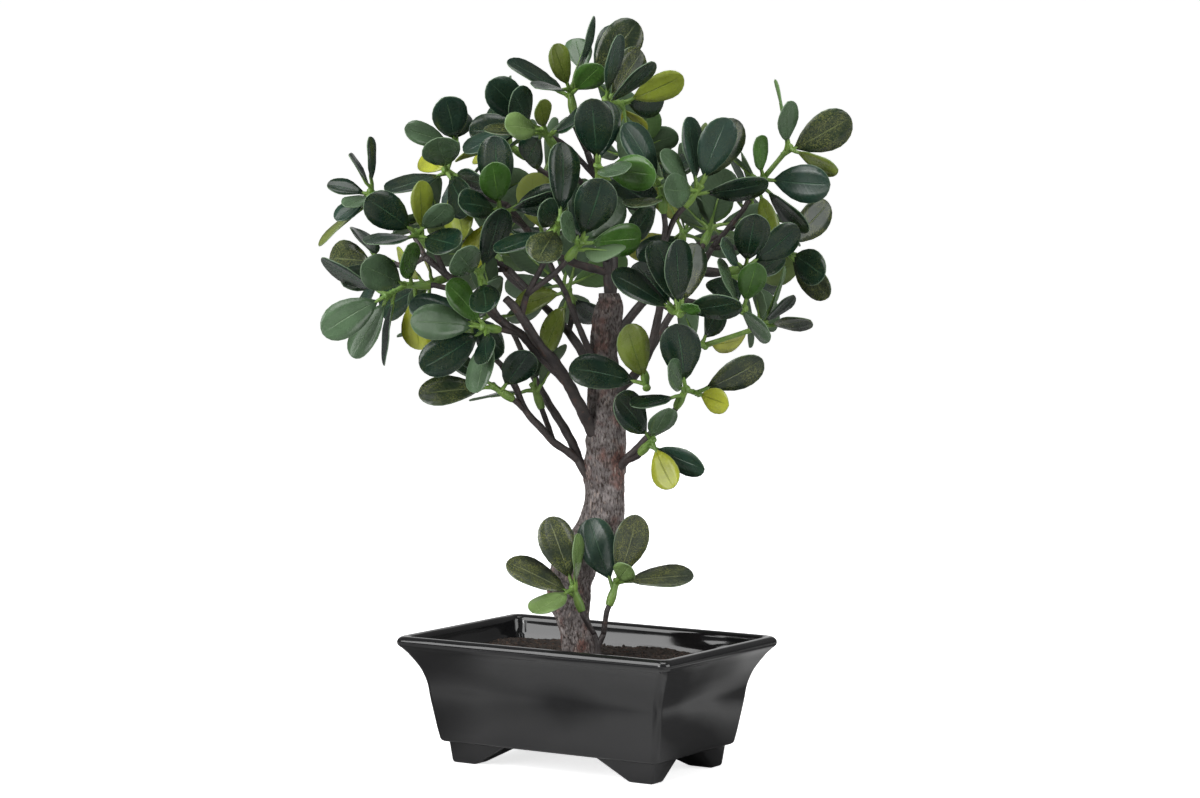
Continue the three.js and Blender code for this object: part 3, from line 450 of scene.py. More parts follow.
def bar_frames(points):
    """Two directions across a bar at each of its points, turned as little as can be.
    The first is taken from Y, or from X where the bar starts nearly along Y."""
    line = np.array([tuple(point) for point in points], float)
    frames = []
    side = np.array((0.0, 1.0, 0.0))
    for i in range(len(line)):
        along = line[min(i + 1, len(line) - 1)] - line[max(i - 1, 0)]
        along = along / np.linalg.norm(along)
        if i == 0 and abs(along[1]) > NEARLY_ALONG:
            side = np.array((1.0, 0.0, 0.0))
        side = side - along * side.dot(along)
        side = side / np.linalg.norm(side)
        frames.append((side, np.cross(side, along)))
    return line, frames


def draw_bar(bm, points, radii, sides, relief=None, material=0):
    """A closed bar along the points. relief, where given, scales its radius by place."""
    line, frames = bar_frames(points)

    def place(step, ring):
        angle = 2 * math.pi * step / sides
        side, up = frames[ring]
        out = side * math.sin(angle) + up * math.cos(angle)
        swell = relief(angle, line[ring], out, ring) if relief else 1
        return Vector(line[ring] + out * radii[ring] * swell)

    draw_out(bm, len(line), sides, place, material)


def brown_fibre():
    """Dry brown fibre: rusty and dark flecks, without any shine."""
    finish, tree, shader = new_finish("brown_fibre")
    grain = patches(tree, 1500, 0.3, 0.7, 6.0)
    cover(tree, shader, patched(tree, *FIBRE_COLOURS), grain, FIBRE_ROUGHNESS)
    raise_surface(tree, shader, grain, FIBRE_GRAIN)
    return finish


soil = new_skin()
soil_draw = np.random.default_rng(SOIL_SEED)
for _ in range(STRANDS):
    draw_bar(soil, strand_points(soil_draw), [STRAND_RADIUS] * STRAND_RINGS, STRAND_SIDES)
scatter_crumbs(soil, soil_draw)
lay_soil(soil)
keep_piece("soil_fibre", soil, [brown_fibre()], ["soil"])

# The trunk
# One post with a moulded bark skin: a kink low down, a few knots, and a sawn top.
# Its foot is cast into the block. The bark is finely cracked, and reddish in places.
TREE_TURN = math.radians(33)
# The whole tree's places and radii are in millimetres, with its front towards -Y, until in_place
# turns it. These are the trunk's middle line, and its radius at each place.
TRUNK = [
    ((-5, 3, 24), 9), ((-5, 1, 58), 9.2), ((-7, 0, 76), 8.8), ((-9, -1, 92), 11.4), ((-9, -1, 104), 11.8),
    ((-2, -1, 118), 11.2), ((7, 0, 133), 11.6), ((10, 0, 150), 10.8), ((10, 0, 168), 11.2),
    ((10, 0, 185), 10.2), ((10, 0, 200), 9.2), ((10, 0, 214), 8.6), ((9, 0, 228), 7),
    ((10, 0, 240), 7.8), ((12, 0, 251), 7.4), ((12, 0, 259), 5.6),
]
TRUNK_STEPS = 18
TRUNK_SIDES = 96
BARK_RELIEF = 0.05
# Waves that wind up the trunk: how many stand round it, and the rise for a radian of turn.
BARK_WAVES = [(3, 9), (5, -6)]
BARK_CRACK = 0.45
BARK_PLATE = Vector((1 / 2.6, 1 / 2.6, 1 / 5.5))
CRACK_WANDER = 1.4
CRACK_WANDER_SCALE = 0.35
CRACK_NARROWNESS = 5
# Without a seed, the noise that the cracks wander by would be another one on each run.
CRACK_SEED = 37
BARK_LUMPS = 0.5
BARK_LUMP = 1 / 7
BARK_STRETCH = (1, 1, 0.35)
BARK_COLOURS = [
    (118, 111, 110), ((156, 148, 146), 160, 0.38, 0.62), ((134, 100, 92), 75, 0.52, 0.64),
    ((74, 64, 60), 900, 0.5, 0.62, 5.0, BARK_STRETCH), ((176, 160, 152), 620, 0.6, 0.68, 4.0, BARK_STRETCH),
]
CRACK_COLOUR = (48, 39, 37)
CRACK_SHOWS = 0.6
# Painted shade: the bark is darkened towards its top, where the crown shades it.
SHADE_COLOUR = (52, 43, 40)
SHADE_SHOWS = 0.36
SHADE_HEIGHTS = (0.17, 0.23)
BARK_ROUGHNESS = (0.62, 0.9)
BARK_GRAIN = 0.45 * MM
BARK_SPECULAR = 0.35
KNOTS = [
    {"at": (-1.5, -6, 231), "reach": 5, "height": 1.6},
    {"at": (-1.5, -4, 179), "reach": 5, "height": 1.3},
    {"at": (2, -2, 103), "reach": 5, "height": 1.2},
    {"at": (20, 4, 163), "reach": 5, "height": 1.2},
    {"at": (-20, 3, 98), "reach": 6, "height": 1.1},
    {"at": (9, 11, 190), "reach": 6, "height": 1.4},
    {"at": (2, 9, 128), "reach": 5, "height": 1.2},
]


def in_place(point):
    """A point of the tree, in its own millimetres, as a place in the object's frame."""
    x, y, z = point
    turned_x = x * math.cos(TREE_TURN) - y * math.sin(TREE_TURN)
    turned_y = x * math.sin(TREE_TURN) + y * math.cos(TREE_TURN)
    return POT_MIDDLE + Vector((turned_x, turned_y, z)) * MM


def crack_depth(point):
    """How deep a bark crack is at a point: 1 in its middle, 0 on the plates between."""
    wander = noise.noise_vector(point * CRACK_WANDER_SCALE) * CRACK_WANDER
    near, next_near = noise.voronoi((point + wander) * BARK_PLATE)[0][:2]
    return max(0.0, 1 - (next_near - near) * CRACK_NARROWNESS)


def bark(angle, centre, out, _ring):
    """The trunk's swell at a place: waves, lumps, knots and cracks."""
    waves = sum(BARK_RELIEF * math.sin(turns * angle + centre[2] / rise) for turns, rise in BARK_WAVES)
    radius = np.interp(centre[2], [at[2] for at, _ in TRUNK], [size for _, size in TRUNK])
    skin = Vector(centre + out * radius)
    lumps = BARK_LUMPS * noise.noise(skin * BARK_LUMP)
    for knot in KNOTS:
        away = (skin - Vector(knot["at"])).length / knot["reach"]
        lumps += knot["height"] * max(0.0, 1 - away * away)
    return 1 + waves + (lumps - BARK_CRACK * crack_depth(skin)) / radius


def draw_bark(bm):
    """The trunk's skin, with each vertex's crack depth kept for its colour."""
    line = smooth_line([(*at, radius) for at, radius in TRUNK], TRUNK_STEPS)
    draw_bar(bm, line[:, :3], line[:, 3], TRUNK_SIDES, bark)
    crack = bm.verts.layers.float.new("crack")
    for vert in bm.verts:
        vert[crack] = crack_depth(vert.co)
        vert.co = in_place(vert.co)


def laid_over(tree, mask, share, first, second):
    """The second colour over the first where the mask is, as strongly as the share."""
    return mingle(tree, reckon(tree, "MULTIPLY", mask, share), first, second)


def bark_brown():
    """Painted bark: grey and reddish patches, pale plates and dark cracks, with painted shade towards its
    top, where the crown shades it.
    """
    finish, tree, shader = new_finish("bark_brown")
    crack = put(tree, "Attribute", attribute_name="crack").outputs["Fac"]
    cracked = laid_over(tree, crack, CRACK_SHOWS, patched(tree, *BARK_COLOURS), paint(*CRACK_COLOUR))
    height = put(tree, "SeparateXYZ", {0: put(tree, "TexCoord").outputs["Object"]}).outputs[2]
    # The crown's shade, painted on the bark: darker towards the top.
    shade = ramp(tree, height, *SHADE_HEIGHTS, 0, SHADE_SHOWS)
    grain = patches(tree, 1400, 0.3, 0.7, 6.0, BARK_STRETCH)
    cover(tree, shader, mingle(tree, shade, cracked, paint(*SHADE_COLOUR)), grain, BARK_ROUGHNESS)
    fine = patches(tree, 700, 0.42, 0.6, 5.0, BARK_STRETCH)
    raise_surface(tree, shader, reckon(tree, "ADD", fine, grain), BARK_GRAIN)
    shader.inputs["Specular IOR Level"].default_value = BARK_SPECULAR
    return finish


noise.seed_set(CRACK_SEED)
trunk = new_skin()
draw_bark(trunk)
keep_piece("trunk_bark", trunk, [bark_brown()], ["trunk"])

# The branches
# Dark brown plastic drawn over wire, bent by hand and plugged into sockets in the trunk.
# They thin towards their ends, where each twig carries a sprig. A forked shoot stands in the soil.
# A limb has the branch that it is part of, its first and last radius, and the places on its way.
LIMBS = {
    "left_upper": ("branch_left", (3.7, 2.3), [
        (6, -3, 178), (2, -7, 186), (-3, -13, 197), (-10, -19, 211), (-18, -25, 224), (-25, -29, 232),
        (-36, -40, 250), (-43, -44, 258)]),
    "left_lower": ("branch_left", (2.7, 1.7), [
        (-10, -19, 211), (-27, -25, 229), (-35, -28, 238), (-44, -33, 244), (-52, -36, 251),
        (-64, -40, 261), (-75, -42, 271), (-86, -40, 280)]),
    "left_fork": ("branch_left", (1.9, 1.6), [(-35, -38, 248), (-32, -44, 260)]),
    "low_left_back": ("branch_low_left", (2.9, 1.8), [
        (5, 0, 152), (-4, 0, 167), (-8, 3, 177), (-15, 6, 189), (-21, 9, 198), (-28, 14, 210),
        (-36, 24, 226)]),
    "low_left_front": ("branch_low_left", (2.3, 1.7), [
        (-4, 0, 167), (-11, -3, 173), (-18, -5, 178), (-25, -7, 186), (-33, -8, 195), (-39, -10, 209),
        (-46, -10, 220)]),
    "low_right": ("branch_low_right", (2.8, 1.9), [
        (13, -3, 158), (20, -7, 167), (30, -15, 178), (42, -26, 192)]),
    "right_front": ("branch_right", (3, 1.7), [
        (11, -2, 201), (20, -5, 209), (26, -9, 215), (33, -16, 226), (37, -22, 240), (40, -29, 256),
        (41, -33, 266), (39, -37, 280)]),
    "right_back": ("branch_right", (2.1, 1.6), [
        (33, -16, 226), (42, -12, 242), (51, -9, 256), (60, -7, 270), (68, -8, 284)]),
    "leader": ("branch_top", (3, 1.7), [
        (12, 0, 248), (12, 0, 262), (11, 1, 277), (10, 2, 292), (8, 2, 308), (5, 0, 322), (0, -2, 336)]),
    "front": ("branch_top", (2.2, 1.7), [(11, 1, 277), (10, -16, 287), (7, -32, 300)]),
    "upper_left": ("branch_top", (2.3, 1.6), [
        (12, 0, 270), (-8, -3, 276), (-24, -7, 284), (-34, -10, 296), (-43, -12, 307)]),
    "inner_left": ("branch_inner_left", (2, 1.5), [
        (6, -2, 219), (1, -5, 229), (-6, -3, 245), (-11, 0, 258)]),
    "back_left": ("branch_back_left", (3, 1.7), [
        (7, 3, 206), (2, 12, 218), (-10, 25, 236), (-26, 40, 252), (-44, 52, 270)]),
    "back_right": ("branch_back_right", (3, 1.7), [
        (12, 3, 222), (18, 13, 237), (32, 28, 254), (48, 42, 268), (62, 48, 284)]),
    "back_top": ("branch_back_top", (2.6, 1.7), [
        (12, 3, 240), (14, 12, 256), (15, 26, 276), (12, 40, 296), (6, 46, 314)]),
    "shoot_left": ("shoot", (2, 1.5), [(6, -22, 46), (6, -22, 67), (4, -22, 75)]),
    "shoot_right": ("shoot", (2, 1.5), [(6, -22, 60), (6, -22, 67), (9, -22, 75)]),
}
LIMB_STEPS = 7
LIMB_SIDES = 14
LIMB_LUMPS = 0.16
LIMB_LUMP = 1 / 4.5
LIMB_SKIN = 2
PLASTIC_COLOURS = [(42, 36, 36), ((64, 56, 54), 130, 0.35, 0.65), ((76, 55, 48), 260, 0.6, 0.7, 4.0)]
PLASTIC_ROUGHNESS = (0.42, 0.62)
PLASTIC_GRAIN = 0.2 * MM
TWIG_RADIUS = 1.5
TWIG_KINK = 2.2
TWIG_BEND = 0.45
GAP = 0.35
SLEEVE_LENGTH = 13
SLEEVE_SHARE = 0.6
TWIG_IN_SLEEVE = 3

# Each sprig leaves a limb at one of its points. A whorl has its middle, a number of further leaves
# set round it by rule, and its leaves as seen from the front: clock angle, lean towards the
# front, turn of the upper face, length, and the letter of its tint.
SPRIGS = [
    ("sprig_top", "leader", 6, [
        ((-9, -5, 369), 1, [(67, 0, 80, 35, "b"), (97, 30, 40, 24, "m"), (145, 3, 62, 33, "d"),
            (168, 56, 80, 25, "d"), (40, 52, 20, 26, "g")]),
        ((1, 13, 377), 1, [(54, -29, 15, 31, "d"), (47, -1, 5, 34, "o"), (103, -39, 10, 25, "s")])]),
    ("sprig_top_right", "leader", 5, [
        ((10, -28, 363), 0, [(74, 34, 68, 34, "b"), (60, -22, 30, 32, "o"), (38, 36, 70, 35, "d")]),
        ((19, -10, 362), 1, [(21, 20, 35, 30, "l"), (0, -46, 20, 31, "d"), (305, -43, 20, 24, "y")])]),
    ("sprig_top_front", "leader", 4, [
        ((-23, -30, 347), 2, [(169, 56, 30, 25, "p"), (93, 53, 43, 20, "m"), (37, -67, 80, 22, "b"),
            (238, -52, 20, 28, "d")])]),
    ("sprig_top_left", "leader", 5, [
        ((-32, 2, 351), 2, [(131, 48, 8, 34, "b"), (102, 36, 38, 32, "b"), (181, 0, 15, 29, "d"),
            (208, 19, 62, 34, "b")])]),
    ("sprig_middle", "front", 2, [
        ((6, -52, 328), 2, [(95, 34, 5, 34, "d"), (354, 42, 10, 31, "g"), (329, -25, 20, 32, "d")])]),
    ("sprig_upper_right", "right_front", 7, [
        ((40, -46, 316), 3, [(117, 16, 45, 34, "b"), (242, -50, 30, 28, "d")])]),
    ("sprig_high_right", "right_front", 7, [
        ((60, -38, 317), 0, [(67, 20, 15, 34, "b"), (93, 13, 57, 33, "b"), (101, 33, 50, 26, "s"),
            (73, -5, 25, 35, "o"), (166, 56, 10, 29, "s"), (5, 5, 48, 33, "d")])]),
    ("sprig_far_right", "right_back", 4, [
        ((95, -12, 321), 1, [(355, 36, 10, 34, "b"), (326, 4, 60, 30, "d"), (282, 33, 50, 29, "m"),
            (95, 46, 55, 24, "g")]),
        ((109, -14, 338), 0, [(95, -26, 85, 34, "g"), (86, 41, 45, 26, "s"), (28, 7, 10, 34, "o"),
            (322, 38, 62, 27, "m")])]),
    ("sprig_right_edge", "right_back", 4, [
        ((110, -4, 282), 0, [(321, 61, 20, 31, "d"), (310, 37, 35, 28, "o"), (43, -15, 15, 32, "o"),
            (199, 53, 58, 30, "d"), (42, -63, 120, 23, "s")])]),
    ("sprig_right", "right_back", 3, [
        ((85, -34, 274), 2, [(81, 49, 8, 34, "d"), (102, 57, 65, 24, "b")])]),
    ("sprig_right_inner", "right_back", 2, [
        ((84, -32, 252), 0, [(100, 43, 5, 26, "g"), (102, 39, 75, 29, "s"), (315, 51, 60, 26, "s"),
            (148, -42, 30, 30, "d")])]),
    ("sprig_right_front", "right_front", 5, [
        ((49, -62, 251), 1, [(89, 25, 46, 35, "d"), (7, 39, 48, 33, "d"), (145, 23, 50, 35, "d"),
            (113, -13, 30, 35, "d"), (10, 67, 40, 17, "g"), (128, -26, 20, 31, "d")])]),
    ("sprig_trunk_right", "low_right", 3, [
        ((53, -40, 209), 0, [(99, 32, 0, 34, "d"), (111, 52, 60, 28, "s"), (167, 35, 70, 26, "d"),
            (115, -43, 35, 31, "d")]),
        ((59, -34, 207), 0, [(26, 21, 28, 34, "o"), (342, 55, 10, 22, "y")])]),
    ("sprig_trunk_front", "right_front", 3, [
        ((32, -42, 211), 0, [(105, 27, 25, 31, "m"), (166, 2, 25, 35, "d")])]),
    ("sprig_low_right", "low_right", 1, [
        ((35, -30, 181), 0, [(116, 40, 35, 32, "d"), (84, 42, 35, 26, "s"), (335, 34, 42, 30, "b"),
            (302, 31, 20, 25, "y")])]),
    ("sprig_right_low", "right_back", 1, [
        ((64, 8, 230), 1, [(1, -44, 40, 27, "y"), (57, -44, 30, 30, "d")]),
        ((97, 4, 241), 1, [(4, 46, 60, 26, "o"), (93, 40, 120, 26, "s"), (63, 25, 62, 22, "d")])]),
    ("sprig_far_left", "left_lower", 7, [
        ((-117, 0, 314), 0, [(86, 17, 76, 24, "b"), (106, 33, 84, 22, "d"), (163, 6, 50, 20, "d"),
            (208, 37, 42, 21, "b"), (197, 62, 58, 22, "s"), (216, 4, 78, 34, "m")])]),
    ("sprig_left", "left_lower", 6, [
        ((-90, -50, 293), 1, [(142, 45, 5, 34, "d"), (164, 45, 76, 30, "d"), (95, 25, 50, 26, "l"),
            (61, 39, 35, 26, "s")])]),
    ("sprig_upper_left", "upper_left", 4, [
        ((-75, -28, 326), 1, [(99, 69, 5, 33, "s"), (191, 34, 65, 33, "d"), (341, 61, 50, 31, "d"),
            (297, 52, 40, 31, "d"), (151, -49, 10, 24, "y")]),
        ((-71, 0, 340), 0, [(160, 28, 30, 24, "s"), (98, 51, 15, 31, "b"), (88, -37, 20, 30, "o"),
            (62, -44, 25, 30, "d")])]),
    ("sprig_front_left", "upper_left", 3, [
        ((-46, -46, 305), 3, [(95, 48, 15, 28, "g"), (170, 32, 40, 31, "d"), (17, 33, 75, 28, "d")])]),
    ("sprig_left_inner", "left_lower", 3, [
        ((-57, -54, 272), 2, [(127, 71, 5, 32, "s"), (76, 26, 45, 34, "d")])]),
    ("sprig_fork_left", "left_fork", 1, [
        ((-14, -64, 299), 2, [(85, 2, 42, 35, "d"), (121, 69, 30, 27, "d"), (194, 33, 66, 32, "d")])]),
    ("sprig_fork_right", "left_fork", 1, [
        ((-3, -66, 288), 2, [(71, 36, 4, 35, "d"), (96, 60, 62, 26, "s"), (353, 44, 125, 28, "s"),
            (2, -28, 20, 31, "g"), (27, -15, 20, 31, "s")])]),
    ("sprig_left_edge", "left_lower", 7, [
        ((-113, -4, 276), 0, [(177, -39, 5, 33, "o"), (209, 56, 25, 28, "d"), (217, 24, 65, 26, "b"),
            (130, -46, 62, 27, "d")])]),
    ("sprig_left_low", "left_lower", 5, [
        ((-96, -40, 265), 0, [(150, 58, 5, 34, "s"), (99, 45, 60, 28, "g"), (272, -3, 20, 28, "y")]),
        ((-106, -44, 260), 1, [(210, 28, 8, 35, "s"), (235, 2, 45, 33, "s"), (240, -9, 76, 34, "b")])]),
    ("sprig_left_front", "left_lower", 2, [
        ((-55, -48, 243), 1, [(173, 28, 15, 34, "s"), (125, 36, 48, 30, "g"), (210, 8, 8, 35, "d"),
            (159, 3, 35, 34, "b"), (269, 61, 45, 24, "d")])]),
    ("sprig_low_left", "low_left_front", 4, [
        ((-50, -18, 209), 0, [(182, 6, 40, 34, "o"), (155, 24, 64, 31, "d"), (53, 44, 18, 29, "d")])]),
    ("sprig_low_inner", "low_left_front", 2, [((-29, 2, 208), 2, [(78, 47, 40, 24, "s")])]),
    ("sprig_left_behind", "low_left_front", 6, [((-65, -6, 246), 4, [(316, 48, 30, 30, "d")])]),
    ("sprig_low_behind", "low_left_back", 6, [((-52, 42, 246), 5, [])]),
    ("sprig_inner_left", "inner_left", 3, [((-24, 12, 288), 5, [])]),
    ("sprig_inner_low", "inner_left", 2, [
        ((-10, 20, 259), 1, [(216, -36, 40, 30, "m"), (298, -54, 30, 31, "d"), (250, -46, 45, 29, "m")])]),
    ("sprig_inner_right", "right_back", 2, [((68, 18, 294), 5, [])]),
    ("sprig_back_1", "back_left", 4, [((-82, 46, 300), 6, [])]),
    ("sprig_back_2", "back_left", 3, [((-54, 84, 280), 6, [])]),
    ("sprig_back_3", "back_left", 4, [((-90, 44, 262), 5, [])]),
    ("sprig_back_4", "back_left", 2, [((-14, 74, 260), 5, [])]),
    ("sprig_back_5", "back_right", 4, [((92, 47, 304), 6, [])]),
    ("sprig_back_6", "back_right", 3, [((92, 56, 264), 5, [])]),
    ("sprig_back_7", "back_right", 3, [((54, 74, 290), 6, [(210, 48, 20, 33, "d")])]),
    ("sprig_back_8", "back_top", 4, [((22, 72, 334), 7, [])]),
    ("sprig_back_9", "back_top", 4, [((-26, 68, 322), 6, [])]),
    ("sprig_back_10", "back_top", 4, [((48, 44, 320), 6, [])]),
    ("sprig_back_11", "back_top", 4, [((-44, 40, 340), 6, [])]),
    # The base leaves carry the brownish h and pale p tints, which are lighter to paint the haze of light
    # over them.
    ("sprig_base_left", "shoot_left", 2, [
        ((-7, -25, 100), 0, [(108, 2, 15, 34, "h"), (84, 22, 74, 28, "p"), (150, 1, 50, 35, "h"),
            (197, 50, 62, 28, "p")])]),
    ("sprig_base_right", "shoot_right", 2, [
        ((16, -22, 103), 0, [(10, 2, -64, 35, "h"), (72, 15, 22, 35, "h"), (110, -4, -12, 34, "b"),
            (60, 66, -10, 22, "p")])]),
]
RANDOM_SEED = 20417
RANDOM_FACTOR = 16807
RANDOM_RANGE = 2147483647
random_state = RANDOM_SEED


def next_random():
    """The next number from 0 to 1 of a fixed sequence."""
    global random_state
    random_state = random_state * RANDOM_FACTOR % RANDOM_RANGE
    return random_state / RANDOM_RANGE


def unit(way):
    """A direction of length 1."""
    return way / np.linalg.norm(way)


def lay_stem(limb, start_number, whorls):
    """A sprig's twig, bent once, the sleeve over its end, and the green stem through its whorls."""
    start = np.array(LIMBS[limb][2][start_number], float)
    hubs = [np.array(at, float) for at, _, _ in whorls]
    kink = np.array([next_random() - 0.5 for _ in range(3)])
    reach = np.linalg.norm(hubs[0] - start)
    sleeve_length = min(SLEEVE_LENGTH, SLEEVE_SHARE * reach)
    bend = start + (hubs[0] - start) * TWIG_BEND + kink * TWIG_KINK * reach / SLEEVE_LENGTH
    out = unit(hubs[0] - bend)
    sleeve = hubs[0] - out * sleeve_length
    ways = [out] + [unit(end - begin) for begin, end in zip(hubs, hubs[1:])]
    return {"twig": (start, bend, sleeve - out * GAP), "sleeve": sleeve, "hubs": hubs, "ways": ways}


stems = {name: lay_stem(limb, start, whorls) for name, limb, start, whorls in SPRIGS}


def lumpy(_angle, centre, out, _ring):
    """A branch's slightly uneven skin."""
    return 1 + LIMB_LUMPS * noise.noise(Vector(centre + out * LIMB_SKIN) * LIMB_LUMP)


def draw_limb(bm, way, thick, thin):
    """A limb that thins evenly along its way, with a smooth line through its points."""
    line = smooth_line(way, LIMB_STEPS)
    draw_bar(bm, line, np.linspace(thick, thin, len(line)), LIMB_SIDES, lumpy)


def branch_dark():
    """Dark brown plastic with a dull gloss, darker and rustier in places."""
    finish, tree, shader = new_finish("branch_dark")
    grain = patches(tree, 900, 0.3, 0.7, 5.0)
    cover(tree, shader, patched(tree, *PLASTIC_COLOURS), grain, PLASTIC_ROUGHNESS)
    raise_surface(tree, shader, grain, PLASTIC_GRAIN)
    return finish


BRANCH_DARK = branch_dark()
for branch in dict.fromkeys(name for name, _, _ in LIMBS.values()):
    bars = new_skin()
    for name, radii, way in LIMBS.values():
        if name == branch:
            draw_limb(bars, way, *radii)
    for name, limb, _, _ in SPRIGS:
        if LIMBS[limb][0] == branch:
            stem = stems[name]
            covered = stem["sleeve"] + stem["ways"][0] * TWIG_IN_SLEEVE
            draw_limb(bars, [*stem["twig"], covered], TWIG_RADIUS, TWIG_RADIUS)
    for vert in bars.verts:
        vert.co = in_place(vert.co)
    keep_piece(f"{branch}_plastic", bars, [BRANCH_DARK], [branch])

# The sprigs
# Each is one moulding in soft plastic: a sleeve pushed over a twig's end, stalks, and leaves
# printed dark green or mottled on top and left paler underneath. Young ones are yellow green.
# Some tints are lighter than the print, to paint a sheen on leaves or a haze of light over them.
SLEEVE_RADIUS = 2.5
STEM_RADIUS = 1.6
HUB_END = 2.6
ROOT_SPREAD = 2.2
ROOT_DEPTH = 1.2
SLEEVE_SIDES = 10
SLEEVE_SHAPE = [(0, 1.9), (0.06, 2.15), (0.2, 2.4), (0.36, 2.45), (0.55, 2.0), (0.72, 1.75), (0.84, 2.0),
                (0.93, 2.35), (0.98, 1.7), (1, 0.9)]
STEM_SHAPE = [(0, 1.5), (0.5, 1.35), (0.8, 1.6), (0.93, 2.2), (1, 1.0)]
STEM_STEPS = 2
ROOT_LEVELS = 3
STALK = 7
STALK_HALF = 0.75
LEAF_SLIMNESS = 0.32
LEAF_DROOP = 0.1
GOLDEN_ANGLE = math.radians(137.5)
LEAST_OPENING = 42
OPENING_RANGE = 40
LEAST_LEAF = 27
LEAF_RANGE = 7
# The further leaves' tints in turn; the bluish b among them paints a sheen.
FURTHER_TINTS = "dbdodgdsdodbdmdodgdldyd"

# The rule that places the leaves: each keeps room to the leaves and bars already there, and
# turns a little or gets smaller until it has it. It takes a blade as straight lines from
# station to station: a part of the length, and the half width there as a part of the widest.
STATIONS = [(0, 0.09), (0.28, 0.74), (0.62, 1), (0.9, 0.66), (1, 0)]
ALONG = [along for along, _ in STATIONS]
HALVES = [half for _, half in STATIONS]
HALF_KEEL = 0.6
LEAF_ROOM = 1.7
BAR_ROOM = 1.1
BAR_STEP = 2.5
LEAN_TRIES = [0, 9, -9, 18, -18, 27, -27]
CLOCK_TRIES = [0, 8, -8, 16, -16, 24, -24]
SIZE_TRIES = [1, 0.88]
SAMPLE_ROWS = 10
SAMPLE_COLUMNS = (-1, -0.5, 0, 0.5, 1)
SAMPLE_PARTS = np.repeat(np.arange(1, SAMPLE_ROWS + 1) / SAMPLE_ROWS, len(SAMPLE_COLUMNS))
SAMPLE_ACROSS = np.tile(SAMPLE_COLUMNS, SAMPLE_ROWS)


def turn_about(way, axis, angle):
    """A direction turned about an axis."""
    upright = axis * axis.dot(way)
    return upright + (way - upright) * math.cos(angle) + np.cross(axis, way) * math.sin(angle)


class Bar:
    """A straight round bar, with points along it, that leaves keep clear of."""

    def __init__(self, start, end, radius, owner, is_stalk=False):
        self.start = start
        self.way = end - start
        self.radius = radius
        self.owner = owner
        self.is_stalk = is_stalk
        count = math.ceil(np.linalg.norm(self.way) / BAR_STEP)
        self.samples = start + np.outer(np.arange(count + 1) / count, self.way)


class Leaf:
    """A leaf as the rule places it: the frame at its blade's base, and its size."""

    def __init__(self, owner, root, along, face, length, tint):
        self.owner = owner
        self.root = root
        self.along = along
        self.normal = unit(face - along * face.dot(along))
        self.side = np.cross(self.normal, along)
        self.length = length
        self.half = length * LEAF_SLIMNESS
        self.tint = tint
        self.base = root + along * STALK
        self.middle = self.point(0.5, 0, 0)
        self.samples = self.base + np.outer(SAMPLE_PARTS * length, along)
        spread = SAMPLE_ACROSS * np.interp(SAMPLE_PARTS, ALONG, HALVES) * self.half
        drop = LEAF_DROOP * length * SAMPLE_PARTS**2 + HALF_KEEL
        self.samples = self.samples + np.outer(spread, self.side) - np.outer(drop, self.normal)
        self.stalk = Bar(root, self.base, STALK_HALF, owner, True)

    def point(self, part, spread, depth):
        """A place on the blade: part of its length, millimetres across, and depth under its face."""
        drop = LEAF_DROOP * self.length * part * part + depth
        return self.base + self.along * part * self.length + self.side * spread - self.normal * drop

    def near(self, points, room):
        """Whether any of the points is within so much room of the blade."""
        offset = points - self.base
        part = offset @ self.along / self.length
        edge = room / self.length
        inside = np.clip(part, 0, 1)
        wide = np.interp(inside, ALONG, HALVES) * self.half + room
        height = offset @ self.normal + LEAF_DROOP * self.length * inside**2 + HALF_KEEL
        beside = (part >= -edge) & (part <= 1 + edge) & (np.abs(offset @ self.side) <= wide)
        return bool((beside & (np.abs(height) < HALF_KEEL + room)).any())


def bar_distances(points, starts, ways):
    """How far each point is from each bar's middle line."""
    offsets = points[:, None] - starts[None]
    parts = np.clip((offsets * ways).sum(-1) / (ways * ways).sum(-1), 0, 1)
    return np.linalg.norm(offsets - parts[..., None] * ways, axis=-1)


